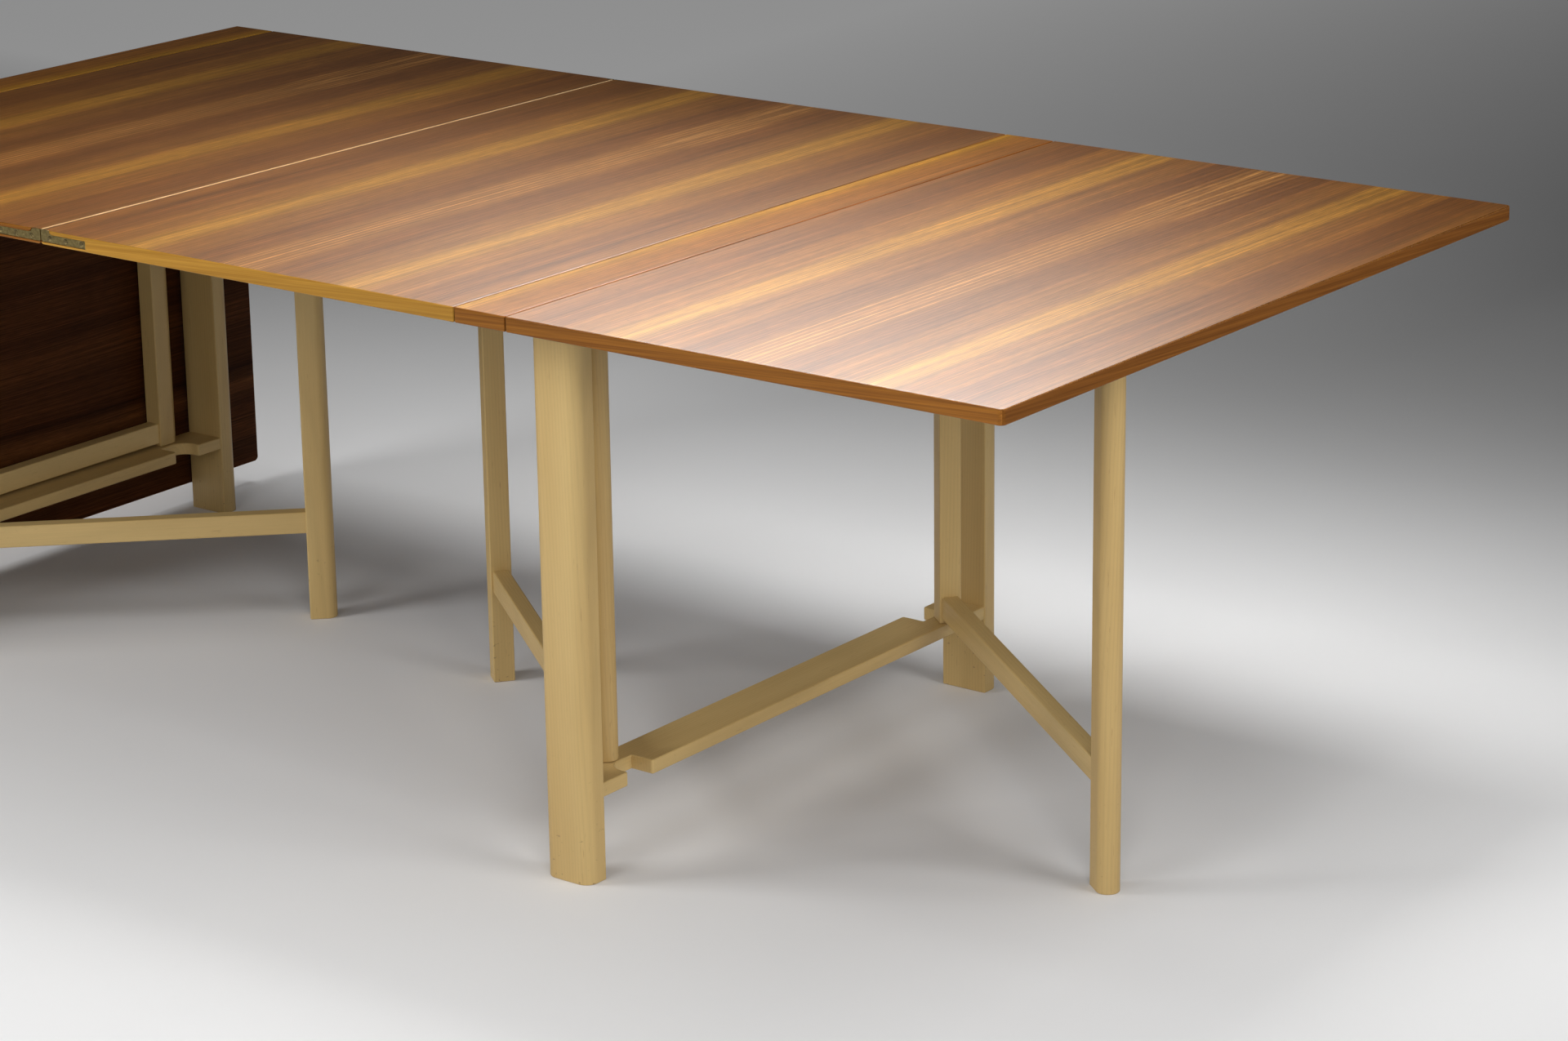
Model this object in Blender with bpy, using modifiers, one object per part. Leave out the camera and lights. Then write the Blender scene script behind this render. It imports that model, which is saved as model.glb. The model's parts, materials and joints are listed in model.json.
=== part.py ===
"""Slim folding dining table with drop leaves and swinging gate legs.

Six boards in a row make the top. Two narrow strips stand on frames, and four leaves hang from the
strips on hinges or lie up on gates. The left end leaf hangs down with its gate shut behind it, and
the other three leaves are up on open gates.
Metres, +Z up, X along the row of boards, Y across it, floor at z = 0.
"""

import math

import bmesh
import bpy
from mathutils import Matrix

# Driving dimensions, in metres.
# The top: boards, the gap at each seam, and the clearance between touching pieces.
TABLE_HEIGHT = 0.720
TABLE_WIDTH = 1.094
LEAF_LENGTH = 0.6625
STRIP_WIDTH = 0.075
TOP_THICKNESS = 0.018
SEAM_GAP = 0.0006
CORNER_RADIUS = 0.007
BOARD_EASING = 0.0015
FIT = 0.0003

# A frame: two legs under a strip, with a stretcher low down and a top rail under the strip.
LEG_SETBACK = 0.0035
LEG_THICKNESS = 0.033
LEG_OVERHANG = 0.1195
LEG_ROUND = 0.016
STRETCHER_SETBACK = 0.0015
STRETCHER_THICKNESS = 0.018
STRETCHER_HEIGHT = 0.103
FRAME_TENON_LENGTH = 0.016
FRAME_TENON_SHOULDER = 0.004
FRAME_TENON_MARGIN = 0.011

# A gate: post, two rails and a leg, turning on two pins.
GATE_GAP = 0.010
GATE_DEPTH = 0.0385
GATE_ROUND = 0.014
WOOD_EASING = 0.002
PIVOT_INSET = 0.0675
POST_GAP = 0.0005
RAIL_THICKNESS = 0.022
RAIL_HEIGHT = 0.031
RAIL_GAP = 0.005
RAIL_TENON_LENGTH = 0.008
RAIL_TENON_SHOULDER = 0.006
PIN_RADIUS = 0.004
PIN_GRIP = 0.020

# The notch in a stretcher or top rail that takes the leg of a shut gate.
NOTCH_ROUND = 0.022
SHOULDER_CLEARANCE = 0.0058
LOBE_CLEARANCE = 0.0018

# How far each gate stands open, in degrees from shut.
END_GATE_LEFT_OPEN = 0.0
INNER_GATE_LEFT_OPEN = 46.0
INNER_GATE_RIGHT_OPEN = 52.0
END_GATE_RIGHT_OPEN = 51.5

# The drop-leaf hinges under the seams beside the strips.
HINGE_LENGTH = 0.060
HINGE_LEAF_REACH = 0.032
HINGE_STRIP_MARGIN = 0.006
HINGE_THICKNESS = 0.0016
HINGE_LIP = 0.0002
KNUCKLE_RADIUS = 0.0028
HINGE_PIN_RADIUS = 0.0012

# The folding hinges let into both ends of the middle seam.
PLATE_LENGTH = 0.077
PLATE_THICKNESS = 0.0022
PLATE_LOW = 0.0035
PLATE_HEIGHT = 0.0098
UPSTAND_LENGTH = 0.013
LINK_LENGTH = 0.025
LINK_THICKNESS = 0.0020
LINK_HEIGHT = 0.0085
LINK_PIN_SPACING = 0.013
LINK_PIN_DEPTH = 0.0045
LINK_PIN_RADIUS = 0.0014
FLUSH_DROP = 0.0002

# Sizes and places worked out from the driving dimensions.
HALF_WIDTH = TABLE_WIDTH / 2
UNDERSIDE = TABLE_HEIGHT - TOP_THICKNESS
STRIP_MIDDLE = LEAF_LENGTH + STRIP_WIDTH / 2
END_SEAM = LEAF_LENGTH + STRIP_WIDTH
TOP_END = END_SEAM + LEAF_LENGTH
LEG_WIDTH = STRIP_WIDTH - 2 * LEG_SETBACK
LEG_OUTER = HALF_WIDTH - LEG_OVERHANG
LEG_INNER = LEG_OUTER - LEG_THICKNESS
STRETCHER_WIDTH = LEG_WIDTH - 2 * STRETCHER_SETBACK
STRETCHER_TOP = STRETCHER_HEIGHT + STRETCHER_THICKNESS
TOP_RAIL_TOP = UNDERSIDE - FIT
TOP_RAIL_BOTTOM = TOP_RAIL_TOP - STRETCHER_THICKNESS
GATE_THICKNESS = (LEG_WIDTH - GATE_GAP) / 2
PIVOT_OUT = (GATE_GAP + GATE_THICKNESS) / 2
PIVOT_Y = LEG_INNER - PIVOT_INSET
GATE_REACH = 2 * PIVOT_Y
POST_BOTTOM = STRETCHER_TOP + POST_GAP
POST_TOP = TOP_RAIL_BOTTOM - POST_GAP
LOWER_RAIL_BOTTOM = STRETCHER_TOP + RAIL_GAP
UPPER_RAIL_BOTTOM = TOP_RAIL_BOTTOM - RAIL_GAP - RAIL_HEIGHT
NOTCH_SHOULDER = PIVOT_Y - GATE_DEPTH / 2 - SHOULDER_CLEARANCE
NOTCH_LOBE = PIVOT_Y + GATE_DEPTH / 2 + LOBE_CLEARANCE
HINGE_AXIS_DROP = FIT + KNUCKLE_RADIUS
HINGE_AXIS = UNDERSIDE - HINGE_AXIS_DROP
HINGE_Y = (HALF_WIDTH + LEG_OUTER) / 2
HINGE_STRIP_REACH = STRIP_WIDTH / 2 - HINGE_STRIP_MARGIN
HANGING_REACH = END_SEAM + HINGE_AXIS_DROP + TOP_THICKNESS
MIDDLE_OF_LENGTH = (TOP_END - HANGING_REACH) / 2

SIDES = {"left": -1, "right": 1}
ENDS = {"near": -1, "far": 1}
HANGING = -math.pi / 2
ARC_STEPS = 6
ROUND_STEPS = 12
EASING_STEPS = 2
SHARP_ANGLE = math.radians(40)
FLAT_ANGLE = 0.001
CUT_MARGIN = 0.001
WELD_DISTANCE = 0.00001


# Scene

for old in list(bpy.data.objects):
    bpy.data.objects.remove(old)

parts = bpy.data.collections.new("extending_dining_table")
cutters = bpy.data.collections.new("cutters")
for collection in (parts, cutters):
    bpy.context.scene.collection.children.link(collection)


def holder(name, place, parent=None):
    """An empty that carries pieces, on the axis about which they turn."""
    empty = bpy.data.objects.new(name, None)
    empty.location = place
    empty.parent = parent
    parts.objects.link(empty)
    return empty


table = holder("table", (-MIDDLE_OF_LENGTH, 0, 0))


# Materials

def finish(name, colour, roughness, metallic=0.0):
    material = bpy.data.materials.new(name)
    material.use_nodes = True
    shader = material.node_tree.nodes["Principled BSDF"]
    shader.inputs["Base Color"].default_value = (*colour, 1.0)
    shader.inputs["Roughness"].default_value = roughness
    shader.inputs["Metallic"].default_value = metallic
    return material


veneer = finish("brown_veneer", (0.20, 0.088, 0.040), 0.38)
pale_veneer = finish("golden_veneer", (0.28, 0.150, 0.062), 0.38)
birch = finish("honey_birch", (0.53, 0.355, 0.145), 0.45)
brass = finish("brass", (0.52, 0.41, 0.19), 0.35, 1.0)
steel = finish("steel", (0.45, 0.44, 0.42), 0.35, 1.0)


# Shapes: each is a bmesh, which becomes a piece or a cutter

def box(low, high):
    shape = bmesh.new()
    made = bmesh.ops.create_cube(shape, size=1.0)
    spans = [sorted(pair) for pair in zip(low, high)]
    bmesh.ops.scale(shape, vec=[b - a for a, b in spans], verts=made["verts"])
    bmesh.ops.translate(shape, vec=[(a + b) / 2 for a, b in spans], verts=made["verts"])
    return shape


def upright_bar(radius, x, y, bottom, top):
    shape = bmesh.new()
    made = bmesh.ops.create_cone(
        shape, cap_ends=True, segments=ROUND_STEPS, radius1=radius, radius2=radius, depth=top - bottom
    )
    bmesh.ops.translate(shape, vec=(x, y, (bottom + top) / 2), verts=made["verts"])
    return shape


def cross_bar(radius, x, z, start, end):
    """A round bar along Y."""
    shape = upright_bar(radius, 0, 0, min(start, end), max(start, end))
    bmesh.ops.rotate(shape, matrix=Matrix.Rotation(-math.pi / 2, 3, "X"), verts=shape.verts)
    bmesh.ops.translate(shape, vec=(x, 0, z), verts=shape.verts)
    return shape


def slab(outline, bottom, top):
    """A closed outline in X and Y, made solid between two heights."""
    curve = bpy.data.curves.new("outline", "CURVE")
    curve.dimensions = "2D"
    curve.fill_mode = "BOTH"
    curve.extrude = (top - bottom) / 2
    spline = curve.splines.new("POLY")
    spline.points.add(len(outline) - 1)
    for point, (x, y) in zip(spline.points, outline):
        point.co = (x, y, 0.0, 1.0)
    spline.use_cyclic_u = True
    guide = bpy.data.objects.new("outline", curve)
    cutters.objects.link(guide)
    view = bpy.context.evaluated_depsgraph_get()
    mesh = bpy.data.meshes.new_from_object(guide.evaluated_get(view))
    shape = bmesh.new()
    shape.from_mesh(mesh)
    bmesh.ops.remove_doubles(shape, verts=shape.verts, dist=WELD_DISTANCE)
    bmesh.ops.dissolve_limit(shape, angle_limit=FLAT_ANGLE, verts=shape.verts, edges=shape.edges)
    bmesh.ops.translate(shape, vec=(0, 0, (bottom + top) / 2), verts=shape.verts)
    bpy.data.objects.remove(guide)
    bpy.data.curves.remove(curve)
    bpy.data.meshes.remove(mesh)
    return shape


def cross_slab(outline, start, end):
    """A closed outline in X and Z, made solid between two places along Y."""
    shape = slab([(x, -z) for x, z in outline], min(start, end), max(start, end))
    bmesh.ops.rotate(shape, matrix=Matrix.Rotation(-math.pi / 2, 3, "X"), verts=shape.verts)
    return shape


def together(*shapes):
    """Several shapes side by side in one bmesh."""
    whole = bmesh.new()
    for shape in shapes:
        mesh = bpy.data.meshes.new("shape")
        shape.to_mesh(mesh)
        shape.free()
        whole.from_mesh(mesh)
        bpy.data.meshes.remove(mesh)
    return whole


def arc(x, y, radius, start, end):
    turn = math.radians(end - start) / ARC_STEPS
    angles = [math.radians(start) + turn * step for step in range(ARC_STEPS + 1)]
    return [(x + radius * math.cos(a), y + radius * math.sin(a)) for a in angles]


def rounded(width, depth, front_radius, back_radius, x=0.0, y=0.0, facing=-1):
    """A rectangle with one radius on its front corners and another on its back corners.

    The front is at the low end of Y where facing is -1, and at the high end where it is 1.
    """
    front = depth / 2 - front_radius
    back = depth / 2 - back_radius
    points = arc(width / 2 - back_radius, back, back_radius, 0, 90)
    points += arc(back_radius - width / 2, back, back_radius, 90, 180)
    points += arc(front_radius - width / 2, -front, front_radius, 180, 270)
    points += arc(width / 2 - front_radius, -front, front_radius, 270, 360)
    return [(x + px, y - facing * py) for px, py in points]


# Pieces

def mesh_of(name, shape):
    bmesh.ops.recalc_face_normals(shape, faces=shape.faces)
    mesh = bpy.data.meshes.new(name)
    shape.to_mesh(mesh)
    shape.free()
    return mesh


def combine(part, operation, shape):
    """Join a shape to a piece, or cut it out of the piece, with a Boolean modifier."""
    name = f"{part.name}_{operation.lower()}_{len(part.modifiers)}"
    helper = bpy.data.objects.new(name, mesh_of(name, shape))
    helper.parent = part.parent
    helper.hide_render = True
    helper.display_type = "WIRE"
    cutters.objects.link(helper)
    boolean = part.modifiers.new(operation.title(), "BOOLEAN")
    boolean.operation = operation
    boolean.object = helper


def piece(name, shape, material, parent, easing=0.0, add=(), cut=()):
    mesh = mesh_of(name, shape)
    mesh.materials.append(material)
    mesh.shade_smooth()
    mesh.set_sharp_from_angle(angle=SHARP_ANGLE)
    part = bpy.data.objects.new(name, mesh)
    part.parent = parent
    parts.objects.link(part)
    if easing:
        bevel = part.modifiers.new("Easing", "BEVEL")
        bevel.width = easing
        bevel.segments = EASING_STEPS
        bevel.limit_method = "ANGLE"
        bevel.angle_limit = SHARP_ANGLE
    for other in add:
        combine(part, "UNION", other)
    for other in cut:
        combine(part, "DIFFERENCE", other)
    return part


# Strips: the narrow boards that stay on the frames

for side, out in SIDES.items():
    low = (out * (LEAF_LENGTH + SEAM_GAP / 2), -HALF_WIDTH, UNDERSIDE)
    high = (out * (END_SEAM - SEAM_GAP / 2), HALF_WIDTH, TABLE_HEIGHT)
    piece(f"strip_{side}", box(low, high), pale_veneer, table, BOARD_EASING)


# Inner leaves, with pockets for the folding hinges at both ends of the middle seam

def plate_outline(out, grow=0.0):
    """The folding hinge's plate in X and Z: low along the leaf, full height beside the seam."""
    seam = SEAM_GAP / 2 - grow
    bottom = UNDERSIDE + PLATE_LOW - grow
    body_top = UNDERSIDE + PLATE_LOW + PLATE_HEIGHT + grow
    top = TABLE_HEIGHT - FLUSH_DROP + (CUT_MARGIN if grow else 0)
    inner = -CUT_MARGIN if grow else seam
    points = [
        (inner, bottom),
        (PLATE_LENGTH + grow, bottom),
        (PLATE_LENGTH + grow, body_top),
        (UPSTAND_LENGTH + grow, body_top),
        (UPSTAND_LENGTH + grow, top),
        (inner, top),
    ]
    return [(out * x, z) for x, z in points]


def plate_pocket(out, end):
    face = end * (HALF_WIDTH + CUT_MARGIN)
    floor = end * (HALF_WIDTH - PLATE_THICKNESS - FIT)
    return cross_slab(plate_outline(out, FIT), face, floor)


def link_pocket(out, end):
    depth = PLATE_THICKNESS + LINK_THICKNESS + 2 * FIT
    low = (-out * CUT_MARGIN, end * (HALF_WIDTH + CUT_MARGIN), TABLE_HEIGHT - LINK_HEIGHT - FIT)
    high = (out * (LINK_LENGTH / 2 + FIT), end * (HALF_WIDTH - depth), TABLE_HEIGHT + CUT_MARGIN)
    return box(low, high)


for side, out in SIDES.items():
    low = (out * SEAM_GAP / 2, -HALF_WIDTH, UNDERSIDE)
    high = (out * (LEAF_LENGTH - SEAM_GAP / 2), HALF_WIDTH, TABLE_HEIGHT)
    pockets = []
    for end in ENDS.values():
        pockets += [plate_pocket(out, end), link_pocket(out, end)]
    piece(f"inner_leaf_{side}", box(low, high), veneer, table, BOARD_EASING, cut=pockets)


# Folding hinges: a plate let into each leaf, and a link that turns on a pin in either plate

for place, end in ENDS.items():
    face = end * HALF_WIDTH
    plate_back = end * (HALF_WIDTH - PLATE_THICKNESS)
    pin_height = TABLE_HEIGHT - LINK_PIN_DEPTH
    hole_start = end * (HALF_WIDTH + CUT_MARGIN)
    hole_end = end * (HALF_WIDTH - PLATE_THICKNESS - CUT_MARGIN)
    for side, out in SIDES.items():
        pin_x = out * LINK_PIN_SPACING / 2
        hole = cross_bar(LINK_PIN_RADIUS + FIT, pin_x, pin_height, hole_start, hole_end)
        plate = cross_slab(plate_outline(out), face, plate_back)
        piece(f"middle_hinge_{place}_{side}_plate", plate, brass, table, cut=[hole])
    link_face = end * (HALF_WIDTH - PLATE_THICKNESS - FIT)
    link_back = link_face - end * LINK_THICKNESS
    link_low = (-LINK_LENGTH / 2, link_back, TABLE_HEIGHT - LINK_HEIGHT)
    link_high = (LINK_LENGTH / 2, link_face, TABLE_HEIGHT - FLUSH_DROP)
    pins = []
    for out in SIDES.values():
        pin_x = out * LINK_PIN_SPACING / 2
        pins.append(cross_bar(LINK_PIN_RADIUS, pin_x, pin_height, face, link_back + end * CUT_MARGIN))
    piece(f"middle_hinge_{place}_link", box(link_low, link_high), brass, table, add=[together(*pins)])


# End leaves: each turns on its own axis under the end seam, and the left one hangs

end_leaf_axes = {}
for side, out in SIDES.items():
    axis = holder(f"end_leaf_{side}_axis", (out * END_SEAM, 0, HINGE_AXIS), table)
    if side == "left":
        axis.rotation_euler.y = HANGING
    end_leaf_axes[side] = axis
    length = LEAF_LENGTH - SEAM_GAP / 2
    middle = SEAM_GAP / 2 + length / 2
    outline = rounded(TABLE_WIDTH, length, WOOD_EASING, CORNER_RADIUS)
    outline = [(out * (middle + along), across) for across, along in outline]
    board = slab(outline, HINGE_AXIS_DROP, HINGE_AXIS_DROP + TOP_THICKNESS)
    piece(f"end_leaf_{side}", board, veneer, axis, BOARD_EASING)


# Drop-leaf hinges: a plate with two knuckles and a fixed pin under the strip, and a plate with
# one knuckle round that pin under the leaf

KNUCKLE_SPLIT = HINGE_LENGTH / 6
PLATE_TOP = KNUCKLE_RADIUS - HINGE_LIP
PLATE_START = KNUCKLE_RADIUS + FIT
PLATE_OVERLAP = 0.002


def hinge_plate(x, y, z, way, reach):
    low = (x + way * PLATE_START, y - HINGE_LENGTH / 2, z + PLATE_TOP - HINGE_THICKNESS)
    high = (x + way * reach, y + HINGE_LENGTH / 2, z + PLATE_TOP)
    return box(low, high)


def hinge_tab(x, z, way, start, end):
    low = (x, start, z + PLATE_TOP - HINGE_THICKNESS)
    high = (x + way * (PLATE_START + PLATE_OVERLAP), end, z + PLATE_TOP)
    return box(low, high)


def strip_hinge_plate(name, x, y, z, way, parent):
    half = HINGE_LENGTH / 2
    spans = [(y - half, y - KNUCKLE_SPLIT - FIT), (y + KNUCKLE_SPLIT + FIT, y + half)]
    tabs = together(*[hinge_tab(x, z, way, start, end) for start, end in spans])
    knuckles = together(*[cross_bar(KNUCKLE_RADIUS, x, z, start, end) for start, end in spans])
    pin = cross_bar(HINGE_PIN_RADIUS, x, z, spans[0][0] + CUT_MARGIN, spans[1][1] - CUT_MARGIN)
    plate = hinge_plate(x, y, z, way, HINGE_STRIP_REACH)
    piece(name, plate, brass, parent, add=[tabs, knuckles, pin])


def leaf_hinge_plate(name, x, y, z, way, parent):
    start, end = y - KNUCKLE_SPLIT, y + KNUCKLE_SPLIT
    tab = hinge_tab(x, z, way, start, end)
    knuckle = cross_bar(KNUCKLE_RADIUS, x, z, start, end)
    bore = cross_bar(HINGE_PIN_RADIUS + FIT, x, z, start - CUT_MARGIN, end + CUT_MARGIN)
    plate = hinge_plate(x, y, z, way, HINGE_LEAF_REACH)
    piece(name, plate, brass, parent, add=[tab, knuckle], cut=[bore])


for side, out in SIDES.items():
    for place, end in ENDS.items():
        y = end * HINGE_Y
        name = f"end_hinge_{side}_{place}"
        strip_hinge_plate(f"{name}_strip_plate", out * END_SEAM, y, HINGE_AXIS, -out, table)
        leaf_hinge_plate(f"{name}_leaf_plate", 0, y, 0, out, end_leaf_axes[side])
        name = f"inner_hinge_{side}_{place}"
        strip_hinge_plate(f"{name}_strip_plate", out * LEAF_LENGTH, y, HINGE_AXIS, out, table)
        leaf_hinge_plate(f"{name}_leaf_plate", out * LEAF_LENGTH, y, HINGE_AXIS, -out, table)


# Frames: legs mortised for a stretcher and a top rail, which are notched for the gates' legs

TENON_WIDTH = STRETCHER_WIDTH - 2 * FRAME_TENON_MARGIN
RAIL_BOTTOMS = (STRETCHER_HEIGHT, TOP_RAIL_BOTTOM)


def frame_tenon(end, bottom, start, tip, grow):
    """A tenon, or with grow its mortise, between two distances from the middle of the frame."""
    low_z = bottom + FRAME_TENON_SHOULDER - grow
    high_z = bottom + STRETCHER_THICKNESS - FRAME_TENON_SHOULDER + grow
    half = TENON_WIDTH / 2 + grow
    return box((-half, end * start, low_z), (half, end * tip, high_z))


def notched_outline(out):
    """A rail in plan: a notch near one end on its outer side, and near the other on its inner side."""
    half = STRETCHER_WIDTH / 2
    reach = LEG_INNER - FIT
    points = [(-half, -reach), (half, -reach), (half, -NOTCH_LOBE)]
    points += arc(NOTCH_ROUND, NOTCH_ROUND - NOTCH_LOBE, NOTCH_ROUND, 270, 180)
    points += [(0, -NOTCH_SHOULDER), (half, -NOTCH_SHOULDER)]
    points += [(-x, -y) for x, y in points]
    return [(out * x, y) for x, y in points]


def notched_rail(name, out, bottom, frame):
    top = bottom + STRETCHER_THICKNESS
    tip = LEG_INNER + FRAME_TENON_LENGTH
    start = NOTCH_LOBE + CUT_MARGIN
    tenons = [frame_tenon(end, bottom, start, tip, 0) for end in ENDS.values()]
    holes = []
    for way in (-1, 1):
        place = (way * out * PIVOT_OUT, way * PIVOT_Y)
        holes.append(upright_bar(PIN_RADIUS + FIT, *place, bottom - CUT_MARGIN, top + CUT_MARGIN))
    rail = slab(notched_outline(out), bottom, top)
    piece(name, rail, birch, frame, BOARD_EASING, add=[together(*tenons)], cut=[together(*holes)])


for side, out in SIDES.items():
    frame = holder(f"frame_{side}", (out * STRIP_MIDDLE, 0, 0), table)
    for place, end in ENDS.items():
        middle = end * (LEG_OUTER + LEG_INNER) / 2
        outline = rounded(LEG_WIDTH, LEG_THICKNESS, WOOD_EASING, LEG_ROUND, 0, middle, -end)
        start = LEG_INNER - CUT_MARGIN
        tip = LEG_INNER + FRAME_TENON_LENGTH + FIT
        mortises = [frame_tenon(end, bottom, start, tip, FIT) for bottom in RAIL_BOTTOMS]
        leg = slab(outline, 0, TOP_RAIL_TOP)
        piece(f"leg_{side}_{place}", leg, birch, frame, BOARD_EASING, cut=[together(*mortises)])
    notched_rail(f"stretcher_{side}", out, STRETCHER_HEIGHT, frame)
    notched_rail(f"top_rail_{side}", out, TOP_RAIL_BOTTOM, frame)


# Gates: each turns on pins in the stretcher and the top rail, and its leg stands under a leaf

RAIL_FACE = GATE_DEPTH / 2 + FIT


def rail_tenons(way, bottom, grow):
    """Both tenons of a gate's rail, or with grow their mortises."""
    half = RAIL_THICKNESS / 2 - RAIL_TENON_SHOULDER + grow
    low_z = bottom + RAIL_TENON_SHOULDER - grow
    high_z = bottom + RAIL_HEIGHT - RAIL_TENON_SHOULDER + grow
    length = RAIL_TENON_LENGTH + grow
    shapes = []
    for joint, inward in ((GATE_DEPTH / 2, 1), (GATE_REACH - GATE_DEPTH / 2, -1)):
        start = joint - inward * length
        end = joint + inward * CUT_MARGIN
        shapes.append(box((-half, way * start, low_z), (half, way * end, high_z)))
    return shapes


def gate_rail(name, way, bottom, gate):
    outline = rounded(RAIL_THICKNESS, RAIL_HEIGHT, WOOD_EASING, WOOD_EASING, 0, bottom + RAIL_HEIGHT / 2)
    rail = cross_slab(outline, way * RAIL_FACE, way * (GATE_REACH - RAIL_FACE))
    piece(name, rail, birch, gate, add=[together(*rail_tenons(way, bottom, 0))])


def gate_section(y, facing):
    return rounded(GATE_THICKNESS, GATE_DEPTH, WOOD_EASING, GATE_ROUND, 0, y, facing)


def make_gate(name, x, y, way, turn):
    """A gate whose leg lies in the direction of way along Y when it is shut."""
    gate = holder(f"{name}_axis", (x, y, 0), table)
    gate.rotation_euler.z = math.radians(turn)
    bottoms = {"lower": LOWER_RAIL_BOTTOM, "upper": UPPER_RAIL_BOTTOM}
    mortises = [rail_tenons(way, bottom, FIT) for bottom in bottoms.values()]
    bores = {
        "lower": (POST_BOTTOM - CUT_MARGIN, POST_BOTTOM + PIN_GRIP + FIT),
        "upper": (POST_TOP - PIN_GRIP - FIT, POST_TOP + CUT_MARGIN),
    }
    post_cuts = [post for post, leg in mortises]
    post_cuts += [upright_bar(PIN_RADIUS + FIT, 0, 0, *span) for span in bores.values()]
    post = slab(gate_section(0, way), POST_BOTTOM, POST_TOP)
    piece(f"{name}_post", post, birch, gate, cut=[together(*post_cuts)])
    for level, bottom in bottoms.items():
        gate_rail(f"{name}_{level}_rail", way, bottom, gate)
    leg = slab(gate_section(way * GATE_REACH, -way), 0, UNDERSIDE - FIT)
    leg_cuts = [leg for post, leg in mortises]
    piece(f"{name}_leg", leg, birch, gate, BOARD_EASING, cut=[together(*leg_cuts)])
    pins = {
        "lower": (STRETCHER_HEIGHT + FIT, POST_BOTTOM + PIN_GRIP),
        "upper": (POST_TOP - PIN_GRIP, TOP_RAIL_TOP - FIT),
    }
    for level, span in pins.items():
        piece(f"{name}_{level}_pin", upright_bar(PIN_RADIUS, x, y, *span), steel, table)


END_GATES = {"left": END_GATE_LEFT_OPEN, "right": END_GATE_RIGHT_OPEN}
INNER_GATES = {"left": INNER_GATE_LEFT_OPEN, "right": INNER_GATE_RIGHT_OPEN}

for side, out in SIDES.items():
    end_x = out * (STRIP_MIDDLE + PIVOT_OUT)
    make_gate(f"end_gate_{side}", end_x, PIVOT_Y, -1, out * END_GATES[side])
    inner_x = out * (STRIP_MIDDLE - PIVOT_OUT)
    make_gate(f"inner_gate_{side}", inner_x, -PIVOT_Y, 1, out * INNER_GATES[side])
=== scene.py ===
"""Folding dining table: veneered boards hinged in a row, on two slim frames with swinging gate legs.

Metres, with +Z up, +X towards the raised end leaf and +Y towards the far side of the table.
"""

import itertools
import json
import math

import bmesh
import bpy
from mathutils import Matrix, Vector

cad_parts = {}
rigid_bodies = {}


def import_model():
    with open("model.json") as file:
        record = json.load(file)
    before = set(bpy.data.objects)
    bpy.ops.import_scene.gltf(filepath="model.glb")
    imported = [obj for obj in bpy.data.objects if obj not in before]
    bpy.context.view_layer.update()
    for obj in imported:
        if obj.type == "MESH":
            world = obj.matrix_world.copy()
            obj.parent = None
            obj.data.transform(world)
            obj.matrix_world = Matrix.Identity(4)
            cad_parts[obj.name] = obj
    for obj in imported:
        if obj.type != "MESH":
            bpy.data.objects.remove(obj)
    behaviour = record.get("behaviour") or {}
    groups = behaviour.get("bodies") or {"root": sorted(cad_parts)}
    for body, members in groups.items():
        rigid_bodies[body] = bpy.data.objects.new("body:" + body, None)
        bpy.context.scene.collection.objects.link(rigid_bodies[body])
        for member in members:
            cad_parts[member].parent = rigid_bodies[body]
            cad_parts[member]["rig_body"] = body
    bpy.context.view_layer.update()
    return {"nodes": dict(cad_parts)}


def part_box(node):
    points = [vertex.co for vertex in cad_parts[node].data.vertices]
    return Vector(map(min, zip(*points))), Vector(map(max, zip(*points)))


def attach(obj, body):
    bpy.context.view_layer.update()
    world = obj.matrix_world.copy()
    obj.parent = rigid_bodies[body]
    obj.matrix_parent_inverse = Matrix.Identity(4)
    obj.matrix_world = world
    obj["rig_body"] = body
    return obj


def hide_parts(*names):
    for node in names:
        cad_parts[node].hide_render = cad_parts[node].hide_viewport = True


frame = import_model()


# Frame legs
# Two wide flat legs of pale birch stand under the ends of each strip and carry the table. Each is planed
# flat on its inner face and rounded along both outer edges.

SIDES = {"left": -1, "right": 1}
ENDS = {"near": -1, "far": 1}
LEG_ROUND = 0.016
WOOD_EASING = 0.002
FOOT_EASING = 0.0015
ROUND_STEPS = 10
EASING_STEPS = 3
ROUND_PROFILE = 0.5
SHARP_ANGLE = math.radians(35)
TINY = 0.00001

BIRCH_PALE = (0.648, 0.463, 0.194)
BIRCH_MID = (0.532, 0.358, 0.138)
BIRCH_DARK = (0.300, 0.172, 0.062)
FOOT_DIRT = (0.150, 0.090, 0.040)
RING_SPACING = 0.0045
RING_TILT = (math.radians(2.2), math.radians(1.3), 0)
RING_SWAY = 0.016
RING_LEVELS, RING_SHADE = (0.45, 1.0), 0.95
WAVE_PERIOD = 2 * math.pi / 20
GRAIN_STEP = Vector((0.011, 0.017, 0.37))
NOISE_LOW, NOISE_HIGH = 0.3, 0.7
SWAYS_PER_METRE = (6, 6, 0.9)
CLOUDS_PER_METRE = (14, 14, 1.6)
FIBRES_PER_METRE = (900, 900, 14)
FLECKS_PER_METRE = (520, 520, 42)
SPECKS_PER_METRE = (120, 120, 190)
FIBRE_SHADES = (0.96, 1.03)
FLECK_LEVELS, FLECK_SHARE = (0.70, 0.80), 0.40
SPECK_LEVELS, SPECK_SHARE = (0.68, 0.76), 0.7
FOOT_DIRT_HEIGHT = 0.12
FOOT_DIRT_END = 1.6 * FOOT_DIRT_HEIGHT
FOOT_DIRT_THIN = 0.2
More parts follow.
